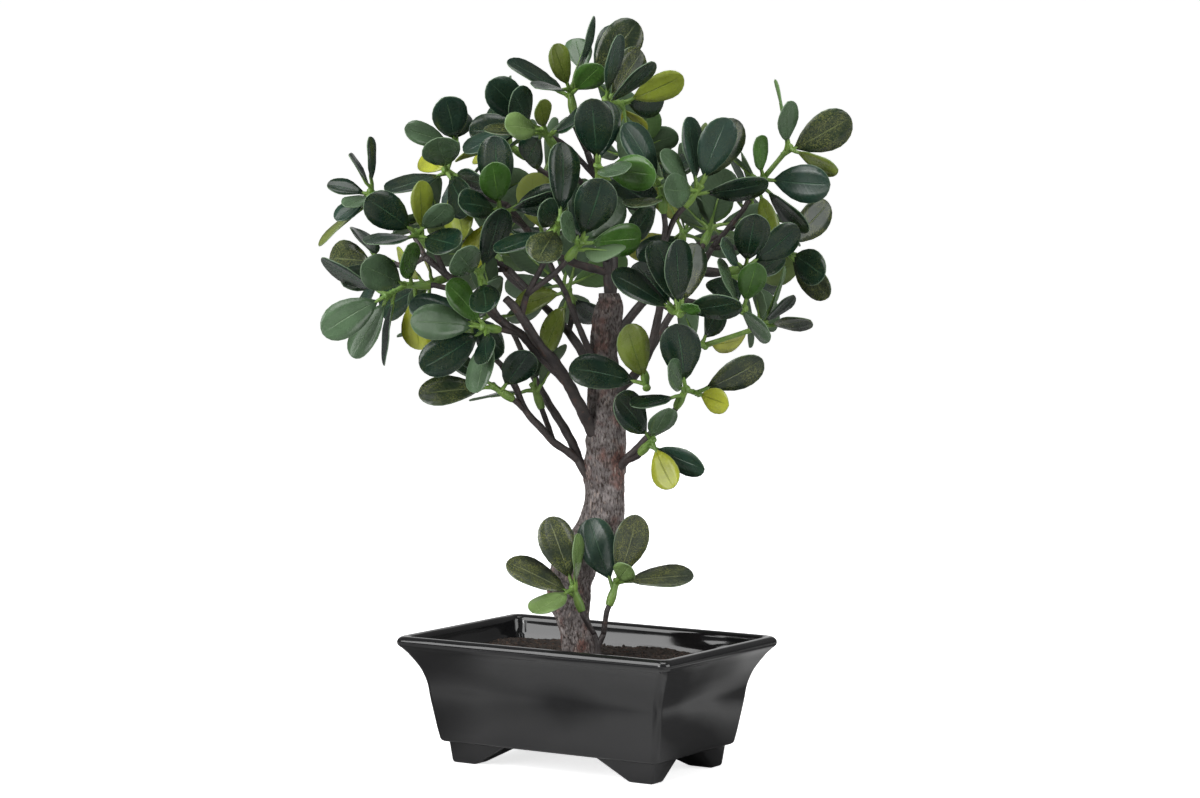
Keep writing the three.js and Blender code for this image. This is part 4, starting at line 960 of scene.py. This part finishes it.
class Crown:
    """The leaves placed so far, and the bars among them."""

    def __init__(self, bars):
        self.leaves = []
        self.bars = []
        for bar in bars:
            self.add_bar(bar)

    def add_bar(self, bar):
        """Adds a bar that later leaves keep clear of."""
        self.bars.append(bar)
        self.starts = np.array([b.start for b in self.bars])
        self.ways = np.array([b.way for b in self.bars])

    def add_leaf(self, leaf):
        """Adds a leaf that has found room, with its stalk as a bar."""
        self.leaves.append(leaf)
        self.add_bar(leaf.stalk)

    def clears_bars(self, leaf):
        """Whether the blade has room to every bar but its own sprig's stems."""
        away = bar_distances(leaf.middle[None], self.starts, self.ways)[0]
        for index in np.flatnonzero(away <= leaf.length):
            bar = self.bars[index]
            room = bar.radius + BAR_ROOM
            if bar.owner == leaf.owner and not bar.is_stalk:
                continue
            touching = bar_distances(leaf.samples, bar.start[None], bar.way[None]) < room
            if touching.any() or leaf.near(bar.samples, room):
                return False
        return True

    def clears_leaves(self, leaf):
        """Whether the blade has room to every other blade."""
        for other in self.leaves:
            if np.linalg.norm(other.middle - leaf.middle) > leaf.length + other.length:
                continue
            if other.near(leaf.samples, LEAF_ROOM) or leaf.near(other.samples, LEAF_ROOM):
                return False
        return True

    def stalk_clears(self, leaf):
        """Whether the stalk has room to the blades and bars of the other sprigs and the wood."""
        room = STALK_HALF + BAR_ROOM
        samples = leaf.stalk.samples
        for other in self.leaves:
            if other.owner != leaf.owner and other.near(samples, room):
                return False
        away = bar_distances(samples, self.starts, self.ways).min(0)
        limits = np.array([b.radius + room if b.owner != leaf.owner else -1 for b in self.bars])
        return bool((away > limits).all())

    def place(self, pose):
        """Tries the wanted pose, then small turns and a smaller size, until the leaf has room."""
        for size in SIZE_TRIES:
            for lean in LEAN_TRIES:
                for clock in CLOCK_TRIES:
                    leaf = pose(clock, lean, size)
                    if self.clears_leaves(leaf) and self.clears_bars(leaf) and self.stalk_clears(leaf):
                        self.add_leaf(leaf)
                        return


def listed_pose(owner, root, clock, lean, turn, length, tint):
    """A leaf of the list, by its angles as seen from the front."""

    def pose(more_clock, more_lean, size):
        angle = math.radians(clock + more_clock)
        tilt = math.radians(lean + more_lean)
        flat = math.cos(tilt)
        along = np.array((flat * math.cos(angle), -math.sin(tilt), flat * math.sin(angle)))
        face = unit(np.array((0.0, -1.0, 0.0)) - along * math.sin(tilt))
        return Leaf(owner, root, along, turn_about(face, along, math.radians(turn)), length * size, tint)

    return pose


def whorled_pose(owner, root, out, turn, opening, length, tint):
    """A further leaf of a whorl: it opens round the stem's way, with its upper face towards it."""
    across = unit(np.cross((0, 0, 1), out))

    def pose(more_turn, more_opening, size):
        radial = turn_about(across, out, turn + math.radians(more_turn))
        angle = math.radians(opening + more_opening)
        along = out * math.cos(angle) + radial * math.sin(angle)
        return Leaf(owner, root, along, out, length * size, tint)

    return pose


def list_bars():
    """The trunk, the limbs, the twigs and the green stems, as bars."""
    middles = [np.array(at, float) for at, _ in TRUNK]
    bars = [Bar(a, b, TRUNK[i + 1][1], "trunk") for i, (a, b) in enumerate(zip(middles, middles[1:]))]
    for branch, (thick, thin), way in LIMBS.values():
        points = np.array(way, float)
        radii = np.linspace(thick, thin, len(way))
        bars += [Bar(a, b, r, branch) for a, b, r in zip(points, points[1:], radii)]
    for name, limb, _, _ in SPRIGS:
        start, bend, end = stems[name]["twig"]
        bars.append(Bar(start, bend, TWIG_RADIUS, LIMBS[limb][0]))
        bars.append(Bar(bend, end, TWIG_RADIUS, LIMBS[limb][0]))
        hubs = stems[name]["hubs"]
        bars.append(Bar(stems[name]["sleeve"], hubs[0], SLEEVE_RADIUS, name))
        bars += [Bar(a, b, STEM_RADIUS, name) for a, b in zip(hubs, hubs[1:])]
    return bars


def leaf_root(hub, out, number):
    """Where a whorl's leaf grows from the stem: one after another, at one of three levels."""
    return hub - out * ROOT_SPREAD * (number % ROOT_LEVELS)


def place_leaves():
    """Places every leaf of the tree: first those of the list, then the further ones."""
    crown = Crown(list_bars())
    for name, _, _, whorls in SPRIGS:
        stem = stems[name]
        for (_, _, listed), hub, out in zip(whorls, stem["hubs"], stem["ways"]):
            for number, leaf in enumerate(listed):
                crown.place(listed_pose(name, leaf_root(hub, out, number), *leaf))
    tints = itertools.cycle(FURTHER_TINTS)
    for name, _, _, whorls in SPRIGS:
        stem = stems[name]
        for (_, more, listed), hub, out in zip(whorls, stem["hubs"], stem["ways"]):
            first = 2 * math.pi * next_random()
            for number in range(more):
                opening = LEAST_OPENING + OPENING_RANGE * next_random()
                length = LEAST_LEAF + LEAF_RANGE * next_random()
                root = leaf_root(hub, out, len(listed) + number)
                turn = first + number * GOLDEN_ANGLE
                crown.place(whorled_pose(name, root, out, turn, opening, length, next(tints)))
    return crown.leaves


# A leaf's own shape, finer than the rule needs: a rounded outline that is widest past its
# middle, a shallow fold along the midrib, and the stalk running on under the blade as a ridge.
# STALK_LINE has the stalk's parts and radii, and MIDRIB_LINE the blade's, with the depth below it.
BLADE_ROWS = 9
BLADE_COLUMNS = 4
BLADE_THICK = 0.5
BLADE_FOLD = 1.1
FOLD_LEVEL = 0.55
FOLD_CURVE = 1.3
RIB_THICKER = 0.35
OUTLINE_BASE = 0.82
OUTLINE_TIP = 0.5
OUTLINE_WIDEST = OUTLINE_BASE / (OUTLINE_BASE + OUTLINE_TIP)
TIP_PART = 0.9994
STALK_SIDES = 6
STALK_LINE = [(0, 1.6), (0.4, 1.25), (0.75, 1.05)]
MIDRIB_LINE = [(0, 1.0, 0.5), (0.07, 0.8, 1.1), (0.25, 0.55, 1.25), (0.6, 0.3, 1.15)]
SIDEWAYS_BOW = 0.05
WIDTH_SHARE = 0.95
WIDTH_CHANGE = 0.06
EDGE_WAVE = 0.35
WAVE_TURNS = 9
# What a leaf's own number is times, so that widths, bows and waves differ from leaf to leaf.
WIDTH_STEP = 2.3
BOW_STEP = 1.7
WAVE_STEP = 5
# The mesh attributes that carry a leaf's tint, and which of the sprig's materials is the green.
TINT_LAYERS = ("top", "under", "rib")
GREEN = 1


def outline(part):
    """The blade's half width at a part of its length, as a part of the widest."""
    peak = OUTLINE_WIDEST**OUTLINE_BASE * (1 - OUTLINE_WIDEST) ** OUTLINE_TIP
    return part**OUTLINE_BASE * (1 - part) ** OUTLINE_TIP / peak


def blade_template():
    """A blade's grid. x is the way across, y the part of its length, and z 1 on the underside."""
    bm = bmesh.new()
    bmesh.ops.create_grid(bm, x_segments=BLADE_COLUMNS, y_segments=BLADE_ROWS, size=1)
    for vert in bm.verts:
        row = (vert.co.y + 1) / 2
        vert.co.y = TIP_PART * math.sin(row * math.pi / 2)
    faces = bm.faces[:]
    grown = bmesh.ops.extrude_face_region(bm, geom=faces, use_keep_orig=True)["geom"]
    for item in grown:
        if isinstance(item, bmesh.types.BMVert):
            item.co.z = 1
    bmesh.ops.recalc_face_normals(bm, faces=bm.faces)
    mesh = bpy.data.meshes.new("blade_template")
    bm.to_mesh(mesh)
    bm.free()
    return mesh


BLADE = blade_template()


def add_blade(bm, leaf, number):
    """A leaf's blade. number is the leaf's own, and makes it a little unlike the others."""
    before = len(bm.verts)
    bm.from_mesh(BLADE)
    bm.verts.ensure_lookup_table()
    fresh = bm.verts[before:]
    uv = bm.loops.layers.uv["blade"]
    for loop in {loop for vert in fresh for loop in vert.link_loops}:
        loop[uv].uv = ((loop.vert.co.x + 1) / 2, loop.vert.co.y)
    wide = leaf.half * (WIDTH_SHARE + WIDTH_CHANGE * math.sin(number * WIDTH_STEP))
    bow = SIDEWAYS_BOW * leaf.length * math.sin(number * BOW_STEP)
    layers = bm.verts.layers.float_color
    tint = TINTS[leaf.tint]
    for vert in fresh:
        across, part, low = vert.co
        broad = outline(part)
        spread = across * max(broad * wide, STALK_HALF) + bow * (part - part * part) * 2
        fold = BLADE_FOLD * (FOLD_LEVEL - abs(across) ** FOLD_CURVE) * broad
        ripple = math.sin(part * WAVE_TURNS + number * WAVE_STEP + across)
        wave = EDGE_WAVE * abs(across) * broad * ripple
        depth = fold + wave + BLADE_THICK * (low + RIB_THICKER * (1 - abs(across)) * low)
        vert.co = in_place(leaf.point(part, spread, depth))
        for layer in TINT_LAYERS:
            vert[layers[layer]] = tint[layer]
        vert[layers["face"]] = (low, tint["mottle"], 0, 1)


def add_stalk(bm, leaf):
    """A leaf's stalk, which runs on under the blade as its midrib and dies away."""
    reach = STALK + ROOT_DEPTH
    points = [leaf.root + leaf.along * (share * reach - ROOT_DEPTH) for share, _ in STALK_LINE]
    points += [leaf.point(part, 0, depth) for part, _, depth in MIDRIB_LINE]
    radii = [line[1] for line in STALK_LINE + MIDRIB_LINE]
    draw_bar(bm, points, radii, STALK_SIDES, material=GREEN)


def add_stem(bm, start, end, shape):
    """A stretch of green stem or sleeve between two places, with its radii by part."""
    way = end - start
    parts = smooth_line(shape, STEM_STEPS)
    points = [start + way * part for part in parts[:, 0]]
    draw_bar(bm, points, parts[:, 1], SLEEVE_SIDES, material=GREEN)


# The tints that the leaves are printed in: the upper face, the underside, the midrib on top,
# and how strongly the upper face is mottled. They are dark, bluish, sage, olive, mottled yellow
# green, grass green, lime, yellow, pale young green and brownish. The bluish one is a lighter copy
# of the dark one that paints the sheen of leaves catching the light. The brownish one, and the pale
# green where the base leaves carry it, are lighter to paint the haze of light over those leaves.
TINTS = {
    letter: {"top": paint(*top), "under": paint(*under), "rib": paint(*rib), "mottle": mottle}
    for letter, top, under, rib, mottle in [
        ("d", (12, 36, 25), (78, 100, 72), (56, 88, 62), 0.15),
        ("b", (34, 57, 47), (80, 102, 76), (74, 102, 80), 0.1),
        ("s", (70, 91, 66), (80, 102, 70), (94, 118, 84), 0),
        ("o", (34, 47, 32), (78, 97, 68), (110, 120, 74), 0.7),
        ("m", (98, 113, 41), (100, 118, 64), (84, 104, 44), 0.6),
        ("g", (56, 92, 34), (84, 114, 62), (104, 142, 70), 0.1),
        ("l", (146, 160, 58), (140, 152, 72), (84, 106, 42), 0.25),
        ("y", (148, 154, 46), (146, 150, 60), (98, 108, 38), 0.35),
        ("p", (104, 128, 74), (108, 130, 82), (130, 154, 96), 0),
        ("h", (54, 62, 50), (90, 98, 80), (132, 138, 96), 1),
    ]
}
# The print's parts run from 0 at the midrib to 1 at the margin, and from 0 at the base to 1 at the tip.
RIB_EDGE = (0.015, 0.055)
RIB_FADE = (0.7, 0.97)
RIB_SHOWS = 0.6
RIB_SUNK = -0.8
VEIN_SLANT = 0.22
VEIN_TURNS = 75
VEIN_FROM = 0.7
VEIN_SHOWS = 0.06
VEIN_SHOWS_UNDER = 0.14
VEIN_UNDER = (124, 146, 112)
VEIN_RAISED = 0.05
MARGIN_FROM = 0.965
MARGIN_SHOWS = 0.6
MARGIN = (124, 146, 118)
CLOUD_DARKENS = (0.72, 0.72, 0.72, 1)
CLOUD_LIGHTENS = (1.25, 1.25, 1.25, 1)
MOTTLE = (114, 118, 66)
LEAF_ROUGHNESS = (0.22, 0.34)
LEAF_ROUGHNESS_UNDER = 0.62
LEAF_GRAIN = 0.03
LEAF_RELIEF = 0.35 * MM
LEAF_SPECULAR = 0.4
STEM_COLOURS = [(90, 122, 50), ((114, 142, 64), 140, 0.35, 0.65), ((72, 78, 40), 520, 0.68, 0.72, 2.0)]
STEM_ROUGHNESS = (0.34, 0.5)
STEM_GRAIN = 0.15 * MM


def leaf_print():
    """The printed leaf: a tint with mottling, a midrib, fine veins and a pale cut margin."""
    finish, tree, shader = new_finish("leaf_print")
    place = put(tree, "SeparateXYZ", {0: put(tree, "UVMap", uv_map="blade").outputs[0]}).outputs
    face = put(tree, "SeparateXYZ", {0: put(tree, "Attribute", attribute_name="face").outputs[1]}).outputs
    tints = {layer: put(tree, "Attribute", attribute_name=layer).outputs[0] for layer in TINT_LAYERS}
    away = reckon(tree, "ABSOLUTE", reckon(tree, "MULTIPLY_ADD", place[0], 2, -1))
    fade = ramp(tree, place[1], *RIB_FADE, 1, 0)
    rib = reckon(tree, "MULTIPLY", ramp(tree, away, *RIB_EDGE, 1, 0), fade)
    slope = reckon(tree, "SUBTRACT", place[1], reckon(tree, "MULTIPLY", away, VEIN_SLANT))
    veins = ramp(tree, reckon(tree, "SINE", reckon(tree, "MULTIPLY", slope, VEIN_TURNS)), VEIN_FROM, 1)
    margin = ramp(tree, away, MARGIN_FROM, 1)

    cloud = mingle(tree, patches(tree, 70, 0.3, 0.7), CLOUD_DARKENS, CLOUD_LIGHTENS)
    sockets = {0: 1.0, 6: tints["top"], 7: cloud}
    clouded = put(tree, "Mix", sockets, data_type="RGBA", blend_type="MULTIPLY").outputs[2]
    specks = reckon(tree, "MULTIPLY", patches(tree, 1700, 0.48, 0.6, 4.0), face[1])
    mottled = laid_over(tree, specks, patches(tree, 90, 0.36, 0.56), clouded, paint(*MOTTLE))
    veined = laid_over(tree, veins, VEIN_SHOWS, mottled, tints["rib"])
    ribbed = laid_over(tree, rib, RIB_SHOWS, veined, tints["rib"])
    upper = laid_over(tree, margin, MARGIN_SHOWS, ribbed, paint(*MARGIN))
    lower = laid_over(tree, veins, VEIN_SHOWS_UNDER, tints["under"], paint(*VEIN_UNDER))
    tree.links.new(mingle(tree, face[0], upper, lower), shader.inputs["Base Color"])

    gloss = ramp(tree, patches(tree, 160, 0.3, 0.7), 0, 1, *LEAF_ROUGHNESS)
    matte = put(tree, "Mix", {0: face[0], 2: gloss, 3: LEAF_ROUGHNESS_UNDER}, data_type="FLOAT").outputs[0]
    tree.links.new(matte, shader.inputs["Roughness"])
    sunk = reckon(tree, "MULTIPLY", rib, RIB_SUNK)
    height = reckon(tree, "ADD", sunk, reckon(tree, "MULTIPLY", veins, VEIN_RAISED))
    grain = reckon(tree, "MULTIPLY", patches(tree, 1600, 0.3, 0.7), LEAF_GRAIN)
    raise_surface(tree, shader, reckon(tree, "ADD", height, grain), LEAF_RELIEF)
    shader.inputs["Specular IOR Level"].default_value = LEAF_SPECULAR
    return finish


def stem_green():
    """The sprig's own fresh green plastic, with faint brown specks and a soft gloss."""
    finish, tree, shader = new_finish("stem_green")
    cover(tree, shader, patched(tree, *STEM_COLOURS), patches(tree, 500, 0.3, 0.7), STEM_ROUGHNESS)
    raise_surface(tree, shader, patches(tree, 800, 0.3, 0.7, 4.0), STEM_GRAIN)
    return finish


LEAF_PRINT = leaf_print()
STEM_GREEN = stem_green()
leaves = place_leaves()
for name, _, _, _ in SPRIGS:
    sprig = new_skin()
    for layer in (*TINT_LAYERS, "face"):
        sprig.verts.layers.float_color.new(layer)
    sprig.loops.layers.uv.new("blade")
    stem = stems[name]
    add_stem(sprig, stem["sleeve"], stem["hubs"][0] + stem["ways"][0] * HUB_END, SLEEVE_SHAPE)
    for hub, next_hub, way in zip(stem["hubs"], stem["hubs"][1:], stem["ways"][1:]):
        add_stem(sprig, hub, next_hub + way * HUB_END, STEM_SHAPE)
    own = [(number, leaf) for number, leaf in enumerate(leaves) if leaf.owner == name]
    for _, leaf in own:
        add_stalk(sprig, leaf)
    for vert in sprig.verts:
        vert.co = in_place(vert.co)
    for number, leaf in own:
        add_blade(sprig, leaf, number)
    keep_piece(f"{name}_moulding", sprig, [LEAF_PRINT, STEM_GREEN], [name])
bpy.data.meshes.remove(BLADE)

# The studio
# A plain pale floor that curves up into a low wall all round, under soft wide lights.
# It isn't part of the bonsai.
FLOOR_REACH = 3.4
FLOOR_BEND = 4.5
BEND_ANGLE = math.radians(38)
FLOOR_SEGMENTS = 96
BEND_STEPS = 12
FLOOR_DARK = (110, 110, 110)
FLOOR_GREY = (225, 225, 225)
FLOOR_PALE = (250, 250, 250)
FLOOR_GLOW = 0.75
FLOOR_ROUGHNESS = 0.9
MERGE_DISTANCE = 1e-5
ROOM_LIGHT = 0.21
BACKGROUND_LIGHT = 1.0


def studio_floor():
    """The floor and its wall, spun from their section."""
    bm = bmesh.new()
    section = [bm.verts.new((0, 0, 0)), bm.verts.new((FLOOR_REACH, 0, 0))]
    for i in range(1, BEND_STEPS + 1):
        angle = BEND_ANGLE * i / BEND_STEPS
        reach = FLOOR_REACH + FLOOR_BEND * math.sin(angle)
        section.append(bm.verts.new((reach, 0, FLOOR_BEND * (1 - math.cos(angle)))))
    edges = [bm.edges.new(pair) for pair in zip(section, section[1:])]
    bmesh.ops.spin(
        bm, geom=section + edges, cent=(0, 0, 0), axis=(0, 0, 1), angle=2 * math.pi,
        steps=FLOOR_SEGMENTS, use_merge=True, use_duplicate=False,
    )
    bmesh.ops.remove_doubles(bm, verts=bm.verts, dist=MERGE_DISTANCE)
    bmesh.ops.recalc_face_normals(bm, faces=bm.faces)
    if sum(face.normal.z for face in bm.faces) < 0:
        bmesh.ops.reverse_faces(bm, faces=bm.faces)
    mesh = bpy.data.meshes.new("studio_floor")
    bm.to_mesh(mesh)
    bm.free()
    mesh.shade_smooth()
    floor = bpy.data.objects.new("studio_floor", mesh)
    bpy.context.scene.collection.objects.link(floor)
    return floor


def floor_white():
    """Matte white paint. The object itself sees it greyer, as a studio's dark room would leave it."""
    finish, tree, shader = new_finish("floor_white")
    seen = put(tree, "LightPath").outputs["Is Camera Ray"]
    uneven = mingle(tree, patches(tree, 7, 0.42, 0.58, 1.0), paint(*FLOOR_DARK), paint(*FLOOR_GREY))
    tone = mingle(tree, seen, uneven, paint(*FLOOR_PALE))
    tree.links.new(tone, shader.inputs["Base Color"])
    shader.inputs["Roughness"].default_value = FLOOR_ROUGHNESS
    shader.inputs["Emission Color"].default_value = (1, 1, 1, 1)
    tree.links.new(reckon(tree, "MULTIPLY", seen, FLOOR_GLOW), shader.inputs["Emission Strength"])
    return finish


floor = studio_floor()
floor.data.materials.append(floor_white())

world = bpy.data.worlds.new("studio_light")
world.use_nodes = True
world_shader = world.node_tree.nodes["Background"]
world_shader.inputs["Color"].default_value = (1, 1, 1, 1)
world_seen = put(world.node_tree, "LightPath").outputs["Is Camera Ray"]
world_light = ramp(world.node_tree, world_seen, 0, 1, ROOM_LIGHT, BACKGROUND_LIGHT)
world.node_tree.links.new(world_light, world_shader.inputs["Strength"])
bpy.context.scene.world = world
bpy.context.scene.view_settings.view_transform = "Standard"

# The camera's aim, its distance and its angles round the pot give the photograph's view.
CAMERA_LENS = 108
CAMERA_SENSOR = 36
CAMERA_SEES = 50
CAMERA_AZIMUTH = math.radians(33.03)
CAMERA_ELEVATION = math.radians(4.17)
CAMERA_DISTANCE = 1960.7 * MM
CAMERA_AIM = POT_MIDDLE + Vector((8.56, 0, 201.55)) * MM


def way_from(azimuth, elevation):
    """The direction from the object to a place, by the place's azimuth and elevation."""
    flat = math.cos(elevation)
    return Vector((math.sin(azimuth) * flat, -math.cos(azimuth) * flat, math.sin(elevation)))


def add_softbox(name, turn, rise, distance, size, power):
    """A square soft light that looks at the crown, turned from the camera's side by an angle.
    The camera itself doesn't see it."""
    light = bpy.data.lights.new(name, "AREA")
    light.shape = "SQUARE"
    light.size = size
    light.energy = power
    box = bpy.data.objects.new(name, light)
    way = way_from(CAMERA_AZIMUTH + math.radians(turn), math.radians(rise))
    box.location = CAMERA_AIM + way * distance
    box.rotation_euler = way.to_track_quat("Z", "Y").to_euler()
    box.visible_camera = False
    bpy.context.scene.collection.objects.link(box)


add_softbox("softbox_left", -60, 31, 1.7, 1.3, 28)
add_softbox("softbox_low", -45, 5, 2.2, 0.8, 16)
add_softbox("softbox_right", 58, 14, 2.0, 1.5, 27)
add_softbox("softbox_over", 10, 82, 1.8, 1.2, 20)
add_softbox("softbox_back", 180, 14, 2.2, 1.4, 4)

camera_lens = bpy.data.cameras.new("camera")
camera_lens.lens = CAMERA_LENS
camera_lens.sensor_width = CAMERA_SENSOR
camera_lens.clip_end = CAMERA_SEES
camera = bpy.data.objects.new("camera", camera_lens)
camera_way = way_from(CAMERA_AZIMUTH, CAMERA_ELEVATION)
camera.location = CAMERA_AIM + camera_way * CAMERA_DISTANCE
camera.rotation_euler = camera_way.to_track_quat("Z", "Y").to_euler()
bpy.context.scene.collection.objects.link(camera)
bpy.context.scene.camera = camera
